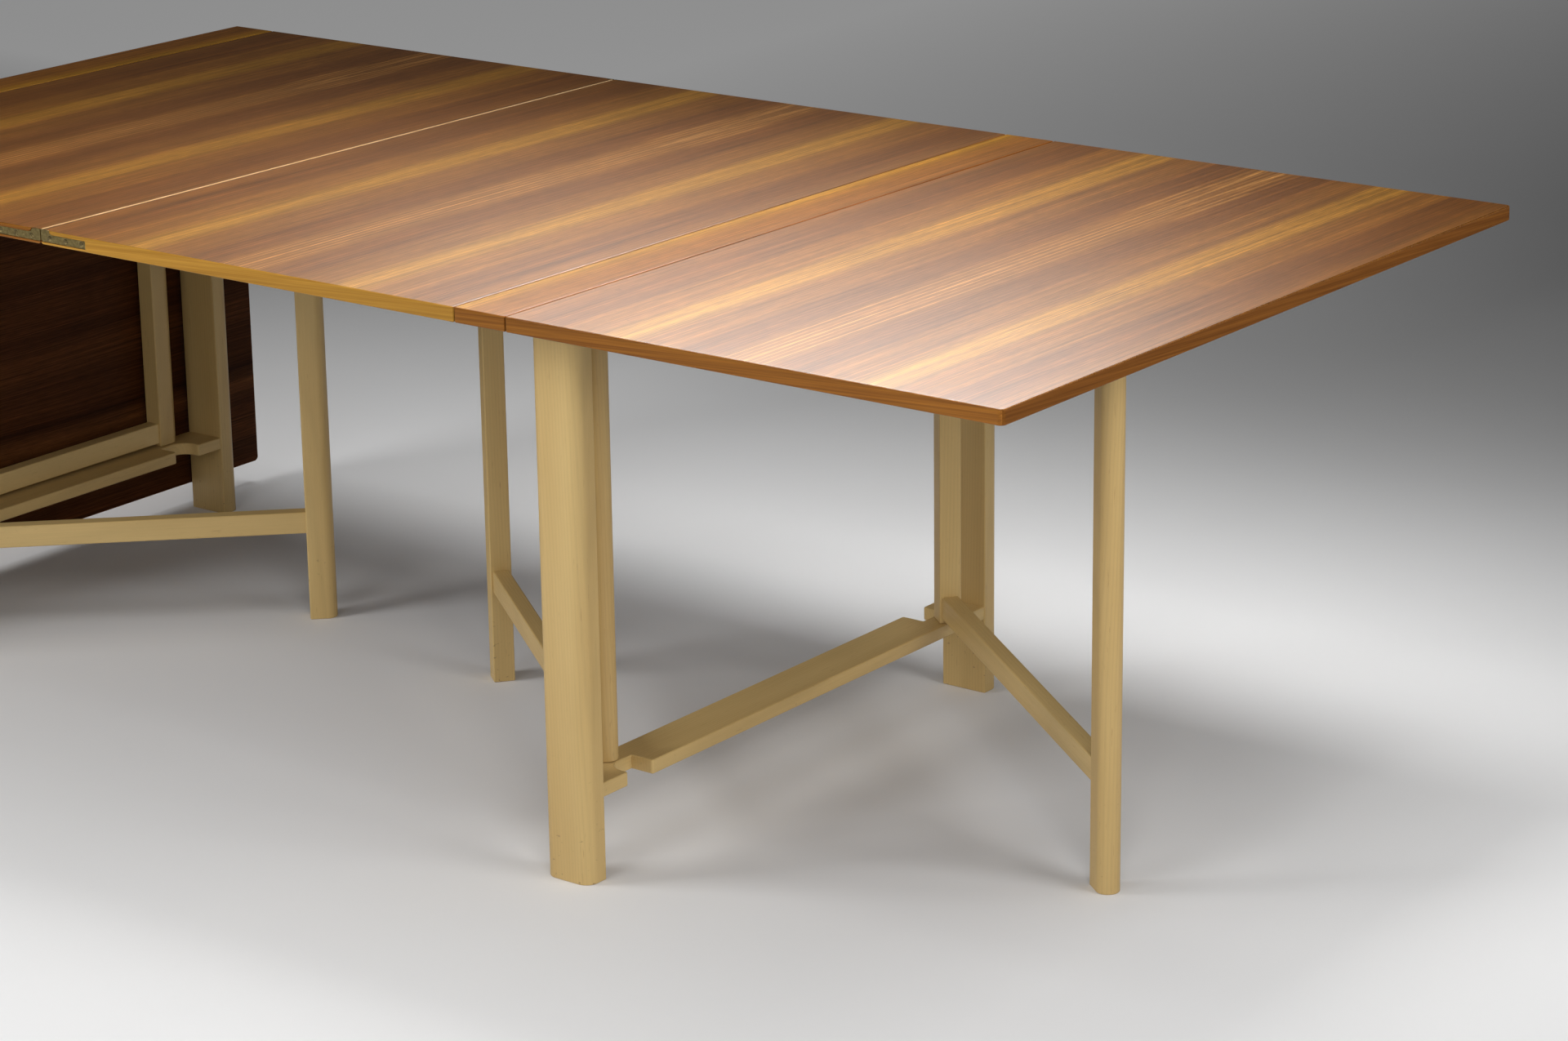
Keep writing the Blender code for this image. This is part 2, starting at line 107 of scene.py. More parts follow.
BIRCH_IOR = 1.46
BIRCH_ROUGHNESS = (0.50, 0.40)
BIRCH_RELIEF = 0.00008


class Finish:
    """A procedural finish, built up node by node on a principled shader."""

    def __init__(self, name, **constants):
        self.material = bpy.data.materials.new(name)
        self.material.use_nodes = True
        self.tree = self.material.node_tree
        self.shader = self.tree.nodes["Principled BSDF"]
        for socket, value in constants.items():
            self.shader.inputs[socket.replace("_", " ")].default_value = value

    def feed(self, socket, value):
        """Link a node's output to a socket, or set a plain value on it."""
        if isinstance(value, bpy.types.NodeSocket):
            self.tree.links.new(value, socket)
        elif socket.type == "RGBA":
            socket.default_value = (*value, 1.0)
        else:
            socket.default_value = value

    def add(self, kind, inputs, output=0, **settings):
        node = self.tree.nodes.new(kind)
        for setting, value in settings.items():
            setattr(node, setting, value)
        for socket, value in inputs.items():
            self.feed(node.inputs[socket], value)
        return node.outputs[output]

    def grain(self):
        """Places in the piece's own frame, with Z along the grain."""
        return self.add("ShaderNodeAttribute", {}, "Vector", attribute_name="grain")

    def place(self):
        return self.add("ShaderNodeTexCoord", {}, "Object")

    def axis(self, vector, letter):
        return self.add("ShaderNodeSeparateXYZ", {"Vector": vector}, letter)

    def vector(self, x, y, z):
        return self.add("ShaderNodeCombineXYZ", {"X": x, "Y": y, "Z": z})

    def plus(self, first, second):
        return self.add("ShaderNodeVectorMath", {0: first, 1: second}, operation="ADD")

    def turned(self, vector, turn):
        return self.add("ShaderNodeMapping", {"Vector": vector, "Rotation": turn})

    def math(self, operation, first, second=0.0):
        return self.add("ShaderNodeMath", {0: first, 1: second}, operation=operation)

    def noise(self, vector, stretch, detail=2.0, roughness=0.5):
        """Noise with that many features to the metre along each axis."""
        scaled = self.add("ShaderNodeVectorMath", {0: vector, 1: stretch}, operation="MULTIPLY")
        inputs = {"Vector": scaled, "Scale": 1.0, "Detail": detail, "Roughness": roughness}
        return self.add("ShaderNodeTexNoise", inputs, "Fac")

    def spread(self, value, low, high, to_low=0.0, to_high=1.0):
        """Carry a value from one range to another, stopping at both ends."""
        inputs = {"Value": value, "From Min": low, "From Max": high, "To Min": to_low, "To Max": to_high}
        return self.add("ShaderNodeMapRange", inputs)

    def ranged(self, noise, to_low=0.0, to_high=1.0):
        """Carry noise, which lies mostly between two levels, to another range."""
        return self.spread(noise, NOISE_LOW, NOISE_HIGH, to_low, to_high)

    def mix(self, share, first, second):
        return self.add("ShaderNodeMix", {0: share, 6: first, 7: second}, 2, data_type="RGBA")

    def shade(self, colour, value):
        """A colour made darker or lighter by a value."""
        inputs = {0: colour, "Scale": value}
        return self.add("ShaderNodeVectorMath", inputs, operation="SCALE")

    def bands(self, value, stops):
        """Colours along a value from 0 to 1."""
        node = self.tree.nodes.new("ShaderNodeValToRGB")
        self.feed(node.inputs["Fac"], value)
        marks = node.color_ramp.elements
        for _ in stops[2:]:
            marks.new(0.5)
        for mark, (at, colour) in zip(marks, stops):
            mark.position = at
            mark.color = (*colour, 1.0)
        return node.outputs["Color"]

    def surface(self, colour, roughness, height, depth):
        """Send the colour, the roughness and a relief of that depth to the shader."""
        bump = self.add("ShaderNodeBump", {"Height": height, "Strength": 1.0, "Distance": depth})
        self.feed(self.shader.inputs["Base Color"], colour)
        self.feed(self.shader.inputs["Roughness"], roughness)
        self.feed(self.shader.inputs["Normal"], bump)
        return self.material


def birch_finish(name):
    wood = Finish(name, IOR=BIRCH_IOR)
    grain = wood.grain()
    sway = wood.spread(wood.noise(grain, SWAYS_PER_METRE), 0, 1, -RING_SWAY, RING_SWAY)
    bent = wood.plus(grain, wood.vector(sway, sway, 0.0))
    inputs = {"Vector": wood.turned(bent, RING_TILT), "Scale": WAVE_PERIOD / RING_SPACING}
    rings = wood.add("ShaderNodeTexWave", inputs, "Fac", wave_type="RINGS", rings_direction="Z")
    clouds = wood.noise(grain, CLOUDS_PER_METRE)
    fibres = wood.noise(grain, FIBRES_PER_METRE, detail=3, roughness=0.6)
    flecks = wood.noise(grain, FLECKS_PER_METRE, detail=1)
    colour = wood.mix(wood.ranged(clouds), BIRCH_MID, BIRCH_PALE)
    colour = wood.shade(colour, wood.spread(rings, *RING_LEVELS, 1.0, RING_SHADE))
    colour = wood.shade(colour, wood.ranged(fibres, *FIBRE_SHADES))
    colour = wood.mix(wood.spread(flecks, *FLECK_LEVELS, 0.0, FLECK_SHARE), colour, BIRCH_DARK)
    height = wood.axis(wood.place(), "Z")
    specks = wood.noise(wood.place(), SPECKS_PER_METRE, detail=2)
    low = wood.spread(height, FOOT_DIRT_HEIGHT, 0.0, FOOT_DIRT_THIN, 1.0)
    low = wood.math("MULTIPLY", low, wood.spread(height, FOOT_DIRT_END, FOOT_DIRT_HEIGHT))
    dirt = wood.math("MULTIPLY", low, wood.spread(specks, *SPECK_LEVELS, 0.0, SPECK_SHARE))
    colour = wood.mix(dirt, colour, FOOT_DIRT)
    return wood.surface(colour, wood.ranged(fibres, *BIRCH_ROUGHNESS), fibres, BIRCH_RELIEF)


birch = birch_finish("honey_birch")
grain_places = itertools.count(1)


def soften(shape, edges, radius, steps):
    """Round some edges of a shape."""
    bmesh.ops.bevel(
        shape, geom=list(edges), offset=radius, segments=steps, profile=ROUND_PROFILE,
        affect="EDGES", clamp_overlap=True,
    )


def lies_on(edge, axis, place):
    return all(abs(vertex.co[axis] - place) < TINY for vertex in edge.verts)


def bar(width, depth, length, front_round, back_round, end_easing):
    """A bar along Z from 0, with one radius on its two edges at low Y and another on those at high Y."""
    shape = bmesh.new()
    size = Matrix.Translation((0, 0, length / 2)) @ Matrix.Diagonal((width, depth, length, 1))
    bmesh.ops.create_cube(shape, size=1.0, matrix=size)
    for face, radius in ((-depth / 2, front_round), (depth / 2, back_round)):
        sides = (-width / 2, width / 2)
        edges = [e for e in shape.edges if lies_on(e, 1, face) and any(lies_on(e, 0, x) for x in sides)]
        soften(shape, edges, radius, ROUND_STEPS if radius > WOOD_EASING else EASING_STEPS)
    if end_easing:
        rims = [e for e in shape.edges if lies_on(e, 2, 0) or lies_on(e, 2, length)]
        soften(shape, rims, end_easing, EASING_STEPS)
    return shape


def settle(piece):
    """Turn what a piece's modifiers make into its own mesh."""
    view = bpy.context.evaluated_depsgraph_get()
    made = piece.evaluated_get(view)
    mesh = bpy.data.meshes.new_from_object(made, preserve_all_data_layers=True, depsgraph=view)
    piece.modifiers.clear()
    piece.data = mesh


def make_piece(node, kind, shape, place, finishes, grain_start=None, cutters=()):
    """A finished piece that stands for a CAD node, from a shape in its own frame."""
    name = f"{node}_{kind}"
    bmesh.ops.recalc_face_normals(shape, faces=shape.faces)
    mesh = bpy.data.meshes.new(name)
    shape.to_mesh(mesh)
    shape.free()
    mesh.transform(place)
    for finish in finishes:
        mesh.materials.append(finish)
    mesh.shade_smooth()
    mesh.set_sharp_from_angle(angle=SHARP_ANGLE)
    piece = bpy.data.objects.new(name, mesh)
    bpy.context.scene.collection.objects.link(piece)
    for cutter in cutters:
        cut = piece.modifiers.new("Cut", "BOOLEAN")
        cut.object = cutter
    even = piece.modifiers.new("Even shading", "WEIGHTED_NORMAL")
    even.keep_sharp = True
    settle(piece)
    for cutter in cutters:
        bpy.data.objects.remove(cutter)
    if grain_start is not None:
        home = place.inverted()
        grain = piece.data.attributes.new("grain", "FLOAT_VECTOR", "POINT")
        for vertex, entry in zip(piece.data.vertices, grain.data):
            entry.vector = home @ vertex.co + grain_start
    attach(piece, frame["nodes"][node]["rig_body"])
    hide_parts(node)
    return piece


def timber(node, shape, place):
    """A piece of solid birch, with its own part of the grain."""
    return make_piece(node, "timber", shape, place, [birch], next(grain_places) * GRAIN_STEP)


for side in SIDES:
    for end_name, end in ENDS.items():
        node = f"leg_{side}_{end_name}"
        low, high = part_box(node)
        leg_size = high - low
        middle = (low + high) / 2
        shape = bar(*leg_size, LEG_ROUND, WOOD_EASING, FOOT_EASING)
        facing = Matrix.Rotation(0 if end < 0 else math.pi, 4, "Z")
        timber(node, shape, Matrix.Translation((middle.x, middle.y, low.z)) @ facing)


# Stretchers and top rails
# A flat birch rail ties the legs of each frame low down, and one like it lies under the strip. Both are
# sawn with two notches for the gates' legs and have their edges eased, and their square ends meet the legs.

NOTCH_ROUND = 0.022
NOTCH_SHOULDER_GAP = 0.025
NOTCH_LOBE_GAP = 0.021
NOTCH_CORNER = 0.003
RAIL_EASING = 0.002
NOTCH_STEPS = 14
CORNER_STEPS = 5
CORNER_ANGLE = math.radians(60)


def pivot(gate):
    """The axis of a gate, which is the middle of its lower pin."""
    low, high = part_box(f"{gate}_lower_pin")
    return (low + high) / 2


def notched_outline(out, half, reach, pivot_y):
    """A notch near one end on the outer side, and the same near the other end on the inner side."""
    lobe = pivot_y + NOTCH_LOBE_GAP
    shoulder = pivot_y - NOTCH_SHOULDER_GAP
    points = [(-half, -reach), (half, -reach), (half, -lobe)]
    for step in range(NOTCH_STEPS + 1):
        turn = math.radians(270 - 90 * step / NOTCH_STEPS)
        across = NOTCH_ROUND + NOTCH_ROUND * math.cos(turn)
        points.append((across, NOTCH_ROUND - lobe + NOTCH_ROUND * math.sin(turn)))
    points += [(0, -shoulder), (half, -shoulder)]
    points += [(-x, -y) for x, y in points]
    return [(out * x, y) for x, y in points]


def thick_outline(points, depth):
    """An outline in X and Z, made solid between Y 0 and a depth."""
    shape = bmesh.new()
    face = shape.faces.new([shape.verts.new((x, 0, z)) for x, z in points])
    raised = bmesh.ops.extrude_face_region(shape, geom=[face])["geom"]
    lifted = [item for item in raised if isinstance(item, bmesh.types.BMVert)]
    bmesh.ops.translate(shape, vec=(0, depth, 0), verts=lifted)
    bmesh.ops.recalc_face_normals(shape, faces=shape.faces)
    return shape


for side, out in SIDES.items():
    reach = -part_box(f"leg_{side}_near")[1].y
    pivot_y = -pivot(f"inner_gate_{side}").y
    for level in ("stretcher", "top_rail"):
        node = f"{level}_{side}"
        low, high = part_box(node)
        rail_size = high - low
        outline = notched_outline(out, rail_size.x / 2, reach, pivot_y)
        shape = thick_outline([(x, -y) for x, y in outline], rail_size.z)
        corners = [
            e for e in shape.edges
            if abs(e.verts[0].co.y - e.verts[1].co.y) > TINY and abs(e.verts[0].co.z) < reach - TINY
            and e.is_convex and e.calc_face_angle() > CORNER_ANGLE
        ]
        soften(shape, corners, NOTCH_CORNER, CORNER_STEPS)
        rims = [
            e for e in shape.edges
            if (lies_on(e, 1, 0) or lies_on(e, 1, rail_size.z))
            and not (lies_on(e, 2, reach) or lies_on(e, 2, -reach))
        ]
        soften(shape, rims, RAIL_EASING, EASING_STEPS)
        flat = Matrix.Rotation(math.pi / 2, 4, "X")
        timber(node, shape, Matrix.Translation(((low.x + high.x) / 2, 0, low.z)) @ flat)


# Gates
# Four birch gates swing out under the leaves: a pivot post, two rails and a leg that reaches the floor.
# Post and leg are flat where the rails meet them and rounded on the other side.

GATE_ROUND = 0.014
GATES = {
    "end_gate_left": (-1, 0.0),
    "end_gate_right": (-1, 51.5),
    "inner_gate_right": (1, 52.0),
    "inner_gate_left": (1, -46.0),
}

shut_leg_low, shut_leg_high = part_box("end_gate_left_leg")
gate_size = shut_leg_high - shut_leg_low
gate_reach = 2 * abs(pivot("end_gate_left").y)

for gate, (way, turn) in GATES.items():
    axis = pivot(gate)
    swing = Matrix.Translation((axis.x, axis.y, 0)) @ Matrix.Rotation(math.radians(turn), 4, "Z")
    if way < 0:
        swing = swing @ Matrix.Rotation(math.pi, 4, "Z")
    low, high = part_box(f"{gate}_post")
    shape = bar(gate_size.x, gate_size.y, high.z - low.z, GATE_ROUND, WOOD_EASING, FOOT_EASING)
    timber(f"{gate}_post", shape, swing @ Matrix.Translation((0, 0, low.z)))
    for level in ("lower", "upper"):
        low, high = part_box(f"end_gate_left_{level}_rail")
        length = gate_reach - gate_size.y
        shape = bar(high.x - low.x, high.z - low.z, length, WOOD_EASING, WOOD_EASING, 0)
        along = Matrix.Translation((0, gate_size.y / 2, (low.z + high.z) / 2))
        timber(f"{gate}_{level}_rail", shape, swing @ along @ Matrix.Rotation(-math.pi / 2, 4, "X"))
    low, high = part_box(f"{gate}_leg")
    shape = bar(gate_size.x, gate_size.y, high.z - low.z, WOOD_EASING, GATE_ROUND, FOOT_EASING)
    timber(f"{gate}_leg", shape, swing @ Matrix.Translation((0, gate_reach, low.z)))


# Pivot pins
# Each gate turns on two plain steel rods, one up through the stretcher and one down through the top rail.
# They are hidden in the wood, apart from a hair's breadth below and above the post.

STEEL_PALE = (0.52, 0.51, 0.49)
STEEL_DULL = (0.26, 0.25, 0.24)
STEEL_ROUGHNESS = (0.30, 0.46)
STEEL_RELIEF = 0.00003
WEAR_PER_METRE = (900, 900, 2600)
WEAR_LEVELS = (0.35, 0.65)

metal = Finish("turned_steel", Metallic=1.0)
wear = metal.noise(metal.place(), WEAR_PER_METRE, detail=3)
colour = metal.mix(metal.spread(wear, *WEAR_LEVELS), STEEL_DULL, STEEL_PALE)
steel = metal.surface(colour, metal.ranged(wear, *STEEL_ROUGHNESS), wear, STEEL_RELIEF)

for gate in GATES:
    for level in ("lower", "upper"):
        pin = frame["nodes"][f"{gate}_{level}_pin"]
        pin.data.materials.clear()
        pin.data.materials.append(steel)


# Strips
# A narrow veneered board stays on top of each frame between two leaves. Its veneer runs across the table
# and is golden beside the inner leaf, and its edges are lipped with solid wood.

BOARD_EASING = 0.0015
BOARD_STEPS = 4
FLAT_FACE = 0.99
SEAM_DRAW = 0.0005
SQUARE_EDGE = math.radians(50)
LEVEL = Matrix.Rotation(math.pi / 2, 4, "X")
VENEER_SHEETS_APART = 10.0
VENEER_TOP, VENEER_UNDER, EDGE_ALONG_X, EDGE_ALONG_Y, WORN_AND_HIGHLIT_ARRIS, SMOOTH_ARRIS = range(6)

GOLD = (0.465, 0.204, 0.024)
GOLDEN_BROWN = (0.345, 0.132, 0.021)
MID_BROWN = (0.330, 0.128, 0.024)
DARK_BROWN = (0.268, 0.098, 0.021)
OUTER_BROWN = (0.264, 0.093, 0.016)
RED_BROWN = (0.300, 0.098, 0.013)
EDGE_BROWN = (0.310, 0.115, 0.019)
PORE = (0.090, 0.036, 0.012)
STRIP_BANDS = (
    (0.00, (0.440, 0.205, 0.020)), (0.14, (0.460, 0.205, 0.016)), (0.24, (0.400, 0.162, 0.017)),
    (0.42, (0.335, 0.128, 0.019)), (0.70, (0.325, 0.120, 0.019)), (0.88, MID_BROWN), (1.00, RED_BROWN),
)
STRIP_WAVER = 0.0015
# Colours of the underside veneer: a darker veneer, and darker still as painted shade on the hanging leaf's
# inner face, which lies under the table.
UNDER_BANDS_WITH_PAINTED_SHADE = (
    (0.00, (0.074, 0.024, 0.007)), (0.12, (0.048, 0.015, 0.005)), (0.22, (0.084, 0.028, 0.008)),
    (0.34, (0.050, 0.016, 0.005)), (0.44, (0.066, 0.021, 0.006)), (0.52, (0.034, 0.010, 0.003)),
    (0.60, (0.112, 0.040, 0.012)), (0.68, (0.052, 0.016, 0.005)), (0.82, (0.082, 0.027, 0.008)),
    (0.92, (0.050, 0.016, 0.005)), (1.00, (0.068, 0.021, 0.006)),
)
UNDER_WAVER = 0.010
UNDER_SPAN = 0.331
RED_LIPPING = ((0.160, 0.054, 0.008), (0.290, 0.112, 0.015))
# Darker tones for the lipping on the edges that face along X than on the near and far edges.
END_LIPPING = ((0.122, 0.041, 0.008), (0.222, 0.083, 0.015))
HONEY_LIPPING = ((0.310, 0.146, 0.019), (0.430, 0.222, 0.034))
# Pale wood for the worn arris at the middle seam, made paler still as a painted highlight of the light that
# rounded edge catches.
WORN_AND_HIGHLIT_WOOD = ((0.720, 0.470, 0.220), (0.900, 0.650, 0.360))
WOOD_IOR = 1.5
GLOSS_SPREAD = 0.03
BENDS_PER_METRE = (5, 1, 1.2)
VENEER_SHADES = {
    "broad": ((95, 1, 0.6), 2, 0.5, (0.82, 1.18)),
    "streaks": ((380, 1, 1.6), 3, 0.6, (0.66, 1.34)),
    "threads": ((1200, 1, 5), 2, 0.5, (0.60, 1.38)),
    "flecks": ((600, 1, 40), 2, 0.5, (0.78, 1.22)),
}
BLOTCHES_PER_METRE, BLOTCH_SHADES = (14, 1, 12), (0.92, 1.08)
VENEER_MARKS = {
    "scuffs": ((55, 1, 300), 2, 0.5, (0.70, 0.80)),
    "stains": ((45, 1, 90), 4, 0.6, (0.64, 0.72)),
}
MARK_SHADE = 0.78
PORES_PER_METRE = (1900, 1, 45)
PORE_LEVELS, PORE_SHARE = (0.62, 0.74), 0.30
VENEER_RELIEF = 0.00002
LIPPING_TILT = math.radians(3)
LIPPING_ALONG, LIPPING_ACROSS = 5, 500
LIPPING_FINER, LIPPING_COARSER = 3, 25
LIPPING_BROAD_SHADES, LIPPING_FIBRE_SHADES = (0.84, 1.14), (0.90, 1.08)
LIPPING_RELIEF = 0.00004


def veneer_finish(name, bands, across_of, span, waver, figure=None, gloss=0.36, shine=0.6):
    """Sliced brown veneer, with its colours by the distance from one line of the board."""
    wood = Finish(name, IOR=WOOD_IOR, Specular_IOR_Level=shine)
    grain = wood.grain()
    along = wood.axis(grain, "Z")
    sheet = wood.axis(grain, "Y")
    bend = wood.spread(wood.noise(grain, BENDS_PER_METRE, detail=2), 0, 1, -waver, waver)
    across = across_of(wood, wood.math("ADD", wood.axis(grain, "X"), bend))
    laid = wood.vector(across, sheet, along)
    colour = wood.bands(wood.math("DIVIDE", across, span), bands)
    if figure:
        colour = figure(wood, colour, across, along, laid)
    layers = {}
    for layer, (per_metre, detail, roughness, shades) in VENEER_SHADES.items():
        layers[layer] = wood.noise(laid, per_metre, detail, roughness)
        colour = wood.shade(colour, wood.ranged(layers[layer], *shades))
    blotches = wood.noise(grain, BLOTCHES_PER_METRE, detail=3)
    colour = wood.shade(colour, wood.ranged(blotches, *BLOTCH_SHADES))
    for per_metre, detail, roughness, levels in VENEER_MARKS.values():
        marks = wood.noise(grain, per_metre, detail, roughness)
        colour = wood.shade(colour, wood.spread(marks, *levels, 1.0, MARK_SHADE))
    pores = wood.noise(laid, PORES_PER_METRE, detail=1)
    colour = wood.mix(wood.spread(pores, *PORE_LEVELS, 0.0, PORE_SHARE), colour, PORE)
    polish = wood.ranged(layers["threads"], gloss + GLOSS_SPREAD, gloss - GLOSS_SPREAD)
    return wood.surface(colour, polish, layers["streaks"], VENEER_RELIEF)


def lipping_finish(name, tones, letter, gloss=0.40, shine=0.2):
    """Solid wood along an edge, with its grain along X or Y."""
    wood = Finish(name, IOR=WOOD_IOR, Specular_IOR_Level=shine)
    if letter == "X":
        turn, stretch = (0.0, LIPPING_TILT, 0.0), (LIPPING_ALONG, LIPPING_ACROSS, LIPPING_ACROSS)
    else:
        turn, stretch = (LIPPING_TILT, 0.0, 0.0), (LIPPING_ACROSS, LIPPING_ALONG, LIPPING_ACROSS)
    place = wood.turned(wood.place(), turn)
    figure = wood.noise(place, stretch, detail=3, roughness=0.55)
    fibres = wood.noise(place, tuple(value * LIPPING_FINER for value in stretch), detail=2)
    broad = wood.noise(place, tuple(value / LIPPING_COARSER for value in stretch), detail=2)
    colour = wood.mix(wood.ranged(figure), *tones)
    colour = wood.shade(colour, wood.ranged(broad, *LIPPING_BROAD_SHADES))
    colour = wood.shade(colour, wood.ranged(fibres, *LIPPING_FIBRE_SHADES))
    polish = wood.ranged(fibres, gloss + GLOSS_SPREAD, gloss - GLOSS_SPREAD)
    return wood.surface(colour, polish, fibres, LIPPING_RELIEF)


def from_inner_edge(out, width):
    """The distance from the edge of a strip that lies beside the inner leaf."""
    return lambda wood, x: wood.math("ADD", wood.math("MULTIPLY", x, out), width / 2)


def from_middle(wood, x):
    """The distance from the middle of a leaf, where two sheets of veneer meet as in an open book."""
    return wood.math("ABSOLUTE", x)


def board(size, corner_radius=0.0, corner_side=0, seam_radius=0.0, seam_side=0, worn_and_highlit_side=0):
    """A board about its own middle: X across the grain, Y from its underside up, Z along the grain."""
    width, length, thickness = size
    shape = bmesh.new()
    bmesh.ops.create_cube(shape, size=1.0, matrix=Matrix.Diagonal((width, thickness, length, 1)))
    if corner_side:
        upright = [e for e in shape.edges if abs(e.verts[0].co.y - e.verts[1].co.y) > TINY]
        corners = [e for e in upright if lies_on(e, 0, corner_side * width / 2)]
        soften(shape, corners, corner_radius, ROUND_STEPS)
    if seam_side:
        below = [e for e in shape.edges if lies_on(e, 1, -thickness / 2)]
        soften(shape, [e for e in below if lies_on(e, 0, seam_side * width / 2)], seam_radius, ROUND_STEPS)
    soften(shape, [e for e in shape.edges if e.calc_face_angle() > SQUARE_EDGE], BOARD_EASING, BOARD_STEPS)
    bmesh.ops.recalc_face_normals(shape, faces=shape.faces)
    for face in shape.faces:
        across, up, along = face.normal
        if abs(up) > FLAT_FACE:
            face.material_index = VENEER_TOP if up > 0 else VENEER_UNDER
        # The arris on the worn side is pale worn wood with a painted highlight.
        elif up > TINY and across * worn_and_highlit_side > abs(along):
            face.material_index = WORN_AND_HIGHLIT_ARRIS
        elif up > TINY and abs(across) > abs(along) and across * corner_side <= 0:
            face.material_index = VENEER_TOP
        elif up > TINY and corner_side:
            face.material_index = SMOOTH_ARRIS
        else:
            face.material_index = EDGE_ALONG_X if abs(along) > abs(across) else EDGE_ALONG_Y
    return shape


veneer_sheets = itertools.count(1)
# Near-black underside veneer: partly its own darker tone, partly painted shade.
under_veneer_with_painted_shade = veneer_finish(
    "under_veneer_with_painted_shade", UNDER_BANDS_WITH_PAINTED_SHADE, from_middle, UNDER_SPAN, UNDER_WAVER, gloss=0.5, shine=0.04
)
red_edges = [
    lipping_finish("red_lipping", RED_LIPPING, "X"),
    lipping_finish("end_lipping", END_LIPPING, "Y", shine=0.04),
]
honey_edges = [lipping_finish(f"honey_lipping_{letter}", HONEY_LIPPING, letter) for letter in "XY"]
# Pale and without shine: wear, and a painted highlight on the arris.
worn_and_highlit_wood = lipping_finish("worn_and_highlit_arris", WORN_AND_HIGHLIT_WOOD, "Y", gloss=0.50, shine=0.0)
smooth_arris = lipping_finish("smooth_arris", RED_LIPPING, "X", gloss=0.26, shine=0.9)


def veneered(node, shape, place, top, edges, cutters=()):
    """A veneered board, with its own sheet of veneer."""
    sheet = Vector((0, next(veneer_sheets) * VENEER_SHEETS_APART, 0))
    finishes = [top, under_veneer_with_painted_shade, *edges, worn_and_highlit_wood, smooth_arris]
    return make_piece(node, "board", shape, place, finishes, sheet, cutters)


def drawn_in(node, sides):
    """The box of a board, drawn in a little at its seams, which show as dark lines."""
    low, high = (corner.copy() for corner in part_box(node))
    for way in sides:
        (low if way < 0 else high).x -= way * SEAM_DRAW
    return low, high


for side, out in SIDES.items():
    node = f"strip_{side}"
    low, high = drawn_in(node, (-1, 1))
    width = high.x - low.x
    across_of = from_inner_edge(out, width)
    top = veneer_finish(f"strip_veneer_{side}", STRIP_BANDS, across_of, width, STRIP_WAVER, shine=0.3)
    shape = board(high - low)
    veneered(node, shape, Matrix.Translation((low + high) / 2) @ LEVEL, top, red_edges)


# Inner leaves
# Two wide boards meet at the middle seam. Their veneer is laid as an open book about the middle of each
# leaf, and pockets at both ends of the seam take the folding hinges, where the bottom edge is rounded.

SEAM_BOTTOM_ROUND = 0.0035
PLATE_CORNER = 0.003
PLATE_RECESS = 0.0006
UPSTAND_TOP = 0.015
UPSTAND_FOOT = 0.021
UPSTAND_STEPS = 5
POCKET_PLAY = 0.0003
POCKET_OPENING = 0.002
PLATE_BODY = 0.0098
LEAF_BANDS = (
    (0.000, MID_BROWN), (0.090, MID_BROWN), (0.130, DARK_BROWN), (0.255, DARK_BROWN), (0.290, MID_BROWN),
    (0.415, MID_BROWN), (0.465, GOLD), (0.565, GOLD), (0.615, GOLDEN_BROWN), (0.735, GOLDEN_BROWN),
    (0.770, OUTER_BROWN), (0.910, OUTER_BROWN), (0.945, EDGE_BROWN), (1.000, EDGE_BROWN),
)
LEAF_TINTS = {
    "inner_left": (0.83, 0.83, 0.84),
    "inner_right": (0.82, 0.84, 0.88),
    "end_left": (0.86, 0.86, 0.86),
    "end_right": (0.92, 0.92, 0.84),
}
LEAF_WAVER = 0.002
FIGURE_LINE = (0.660, 0.300, 0.080)
BRIGHT_GOLD = (0.620, 0.280, 0.040)
PATCHES_PER_METRE = (150, 1, 4)
PATCH_LEVELS, PATCH_SHARES = (0.35, 0.62), (0.55, 1.0)
LINE_CORE = 0.25
VEE_OPENING = 0.015
VEE_LENGTH = 0.33
VEE_WIDTH = 0.0032
VEE_FADE, VEE_END, VEE_LEFT = 0.45, 0.80, 0.3
LINE_SPACING = 0.0085
LINE_CREST = (0.40, 0.95)
LINES_REACH = 0.034
LINES_EDGE = 0.85 * LINES_REACH
LINES_SHARE = 0.9
DASH_PLACE = 0.034
DASH_WIDTH = 0.0030
DASH_COMES, DASH_GOES = (0.11, 0.15), (0.31, 0.26)
GOLD_STREAKS = ((0.152, 0.161), (0.184, 0.171))
GOLD_WIDTH = 0.0100
GOLD_SHARE = 0.60


def tinted(colour, tint):
    return tuple(part * share for part, share in zip(colour, tint))


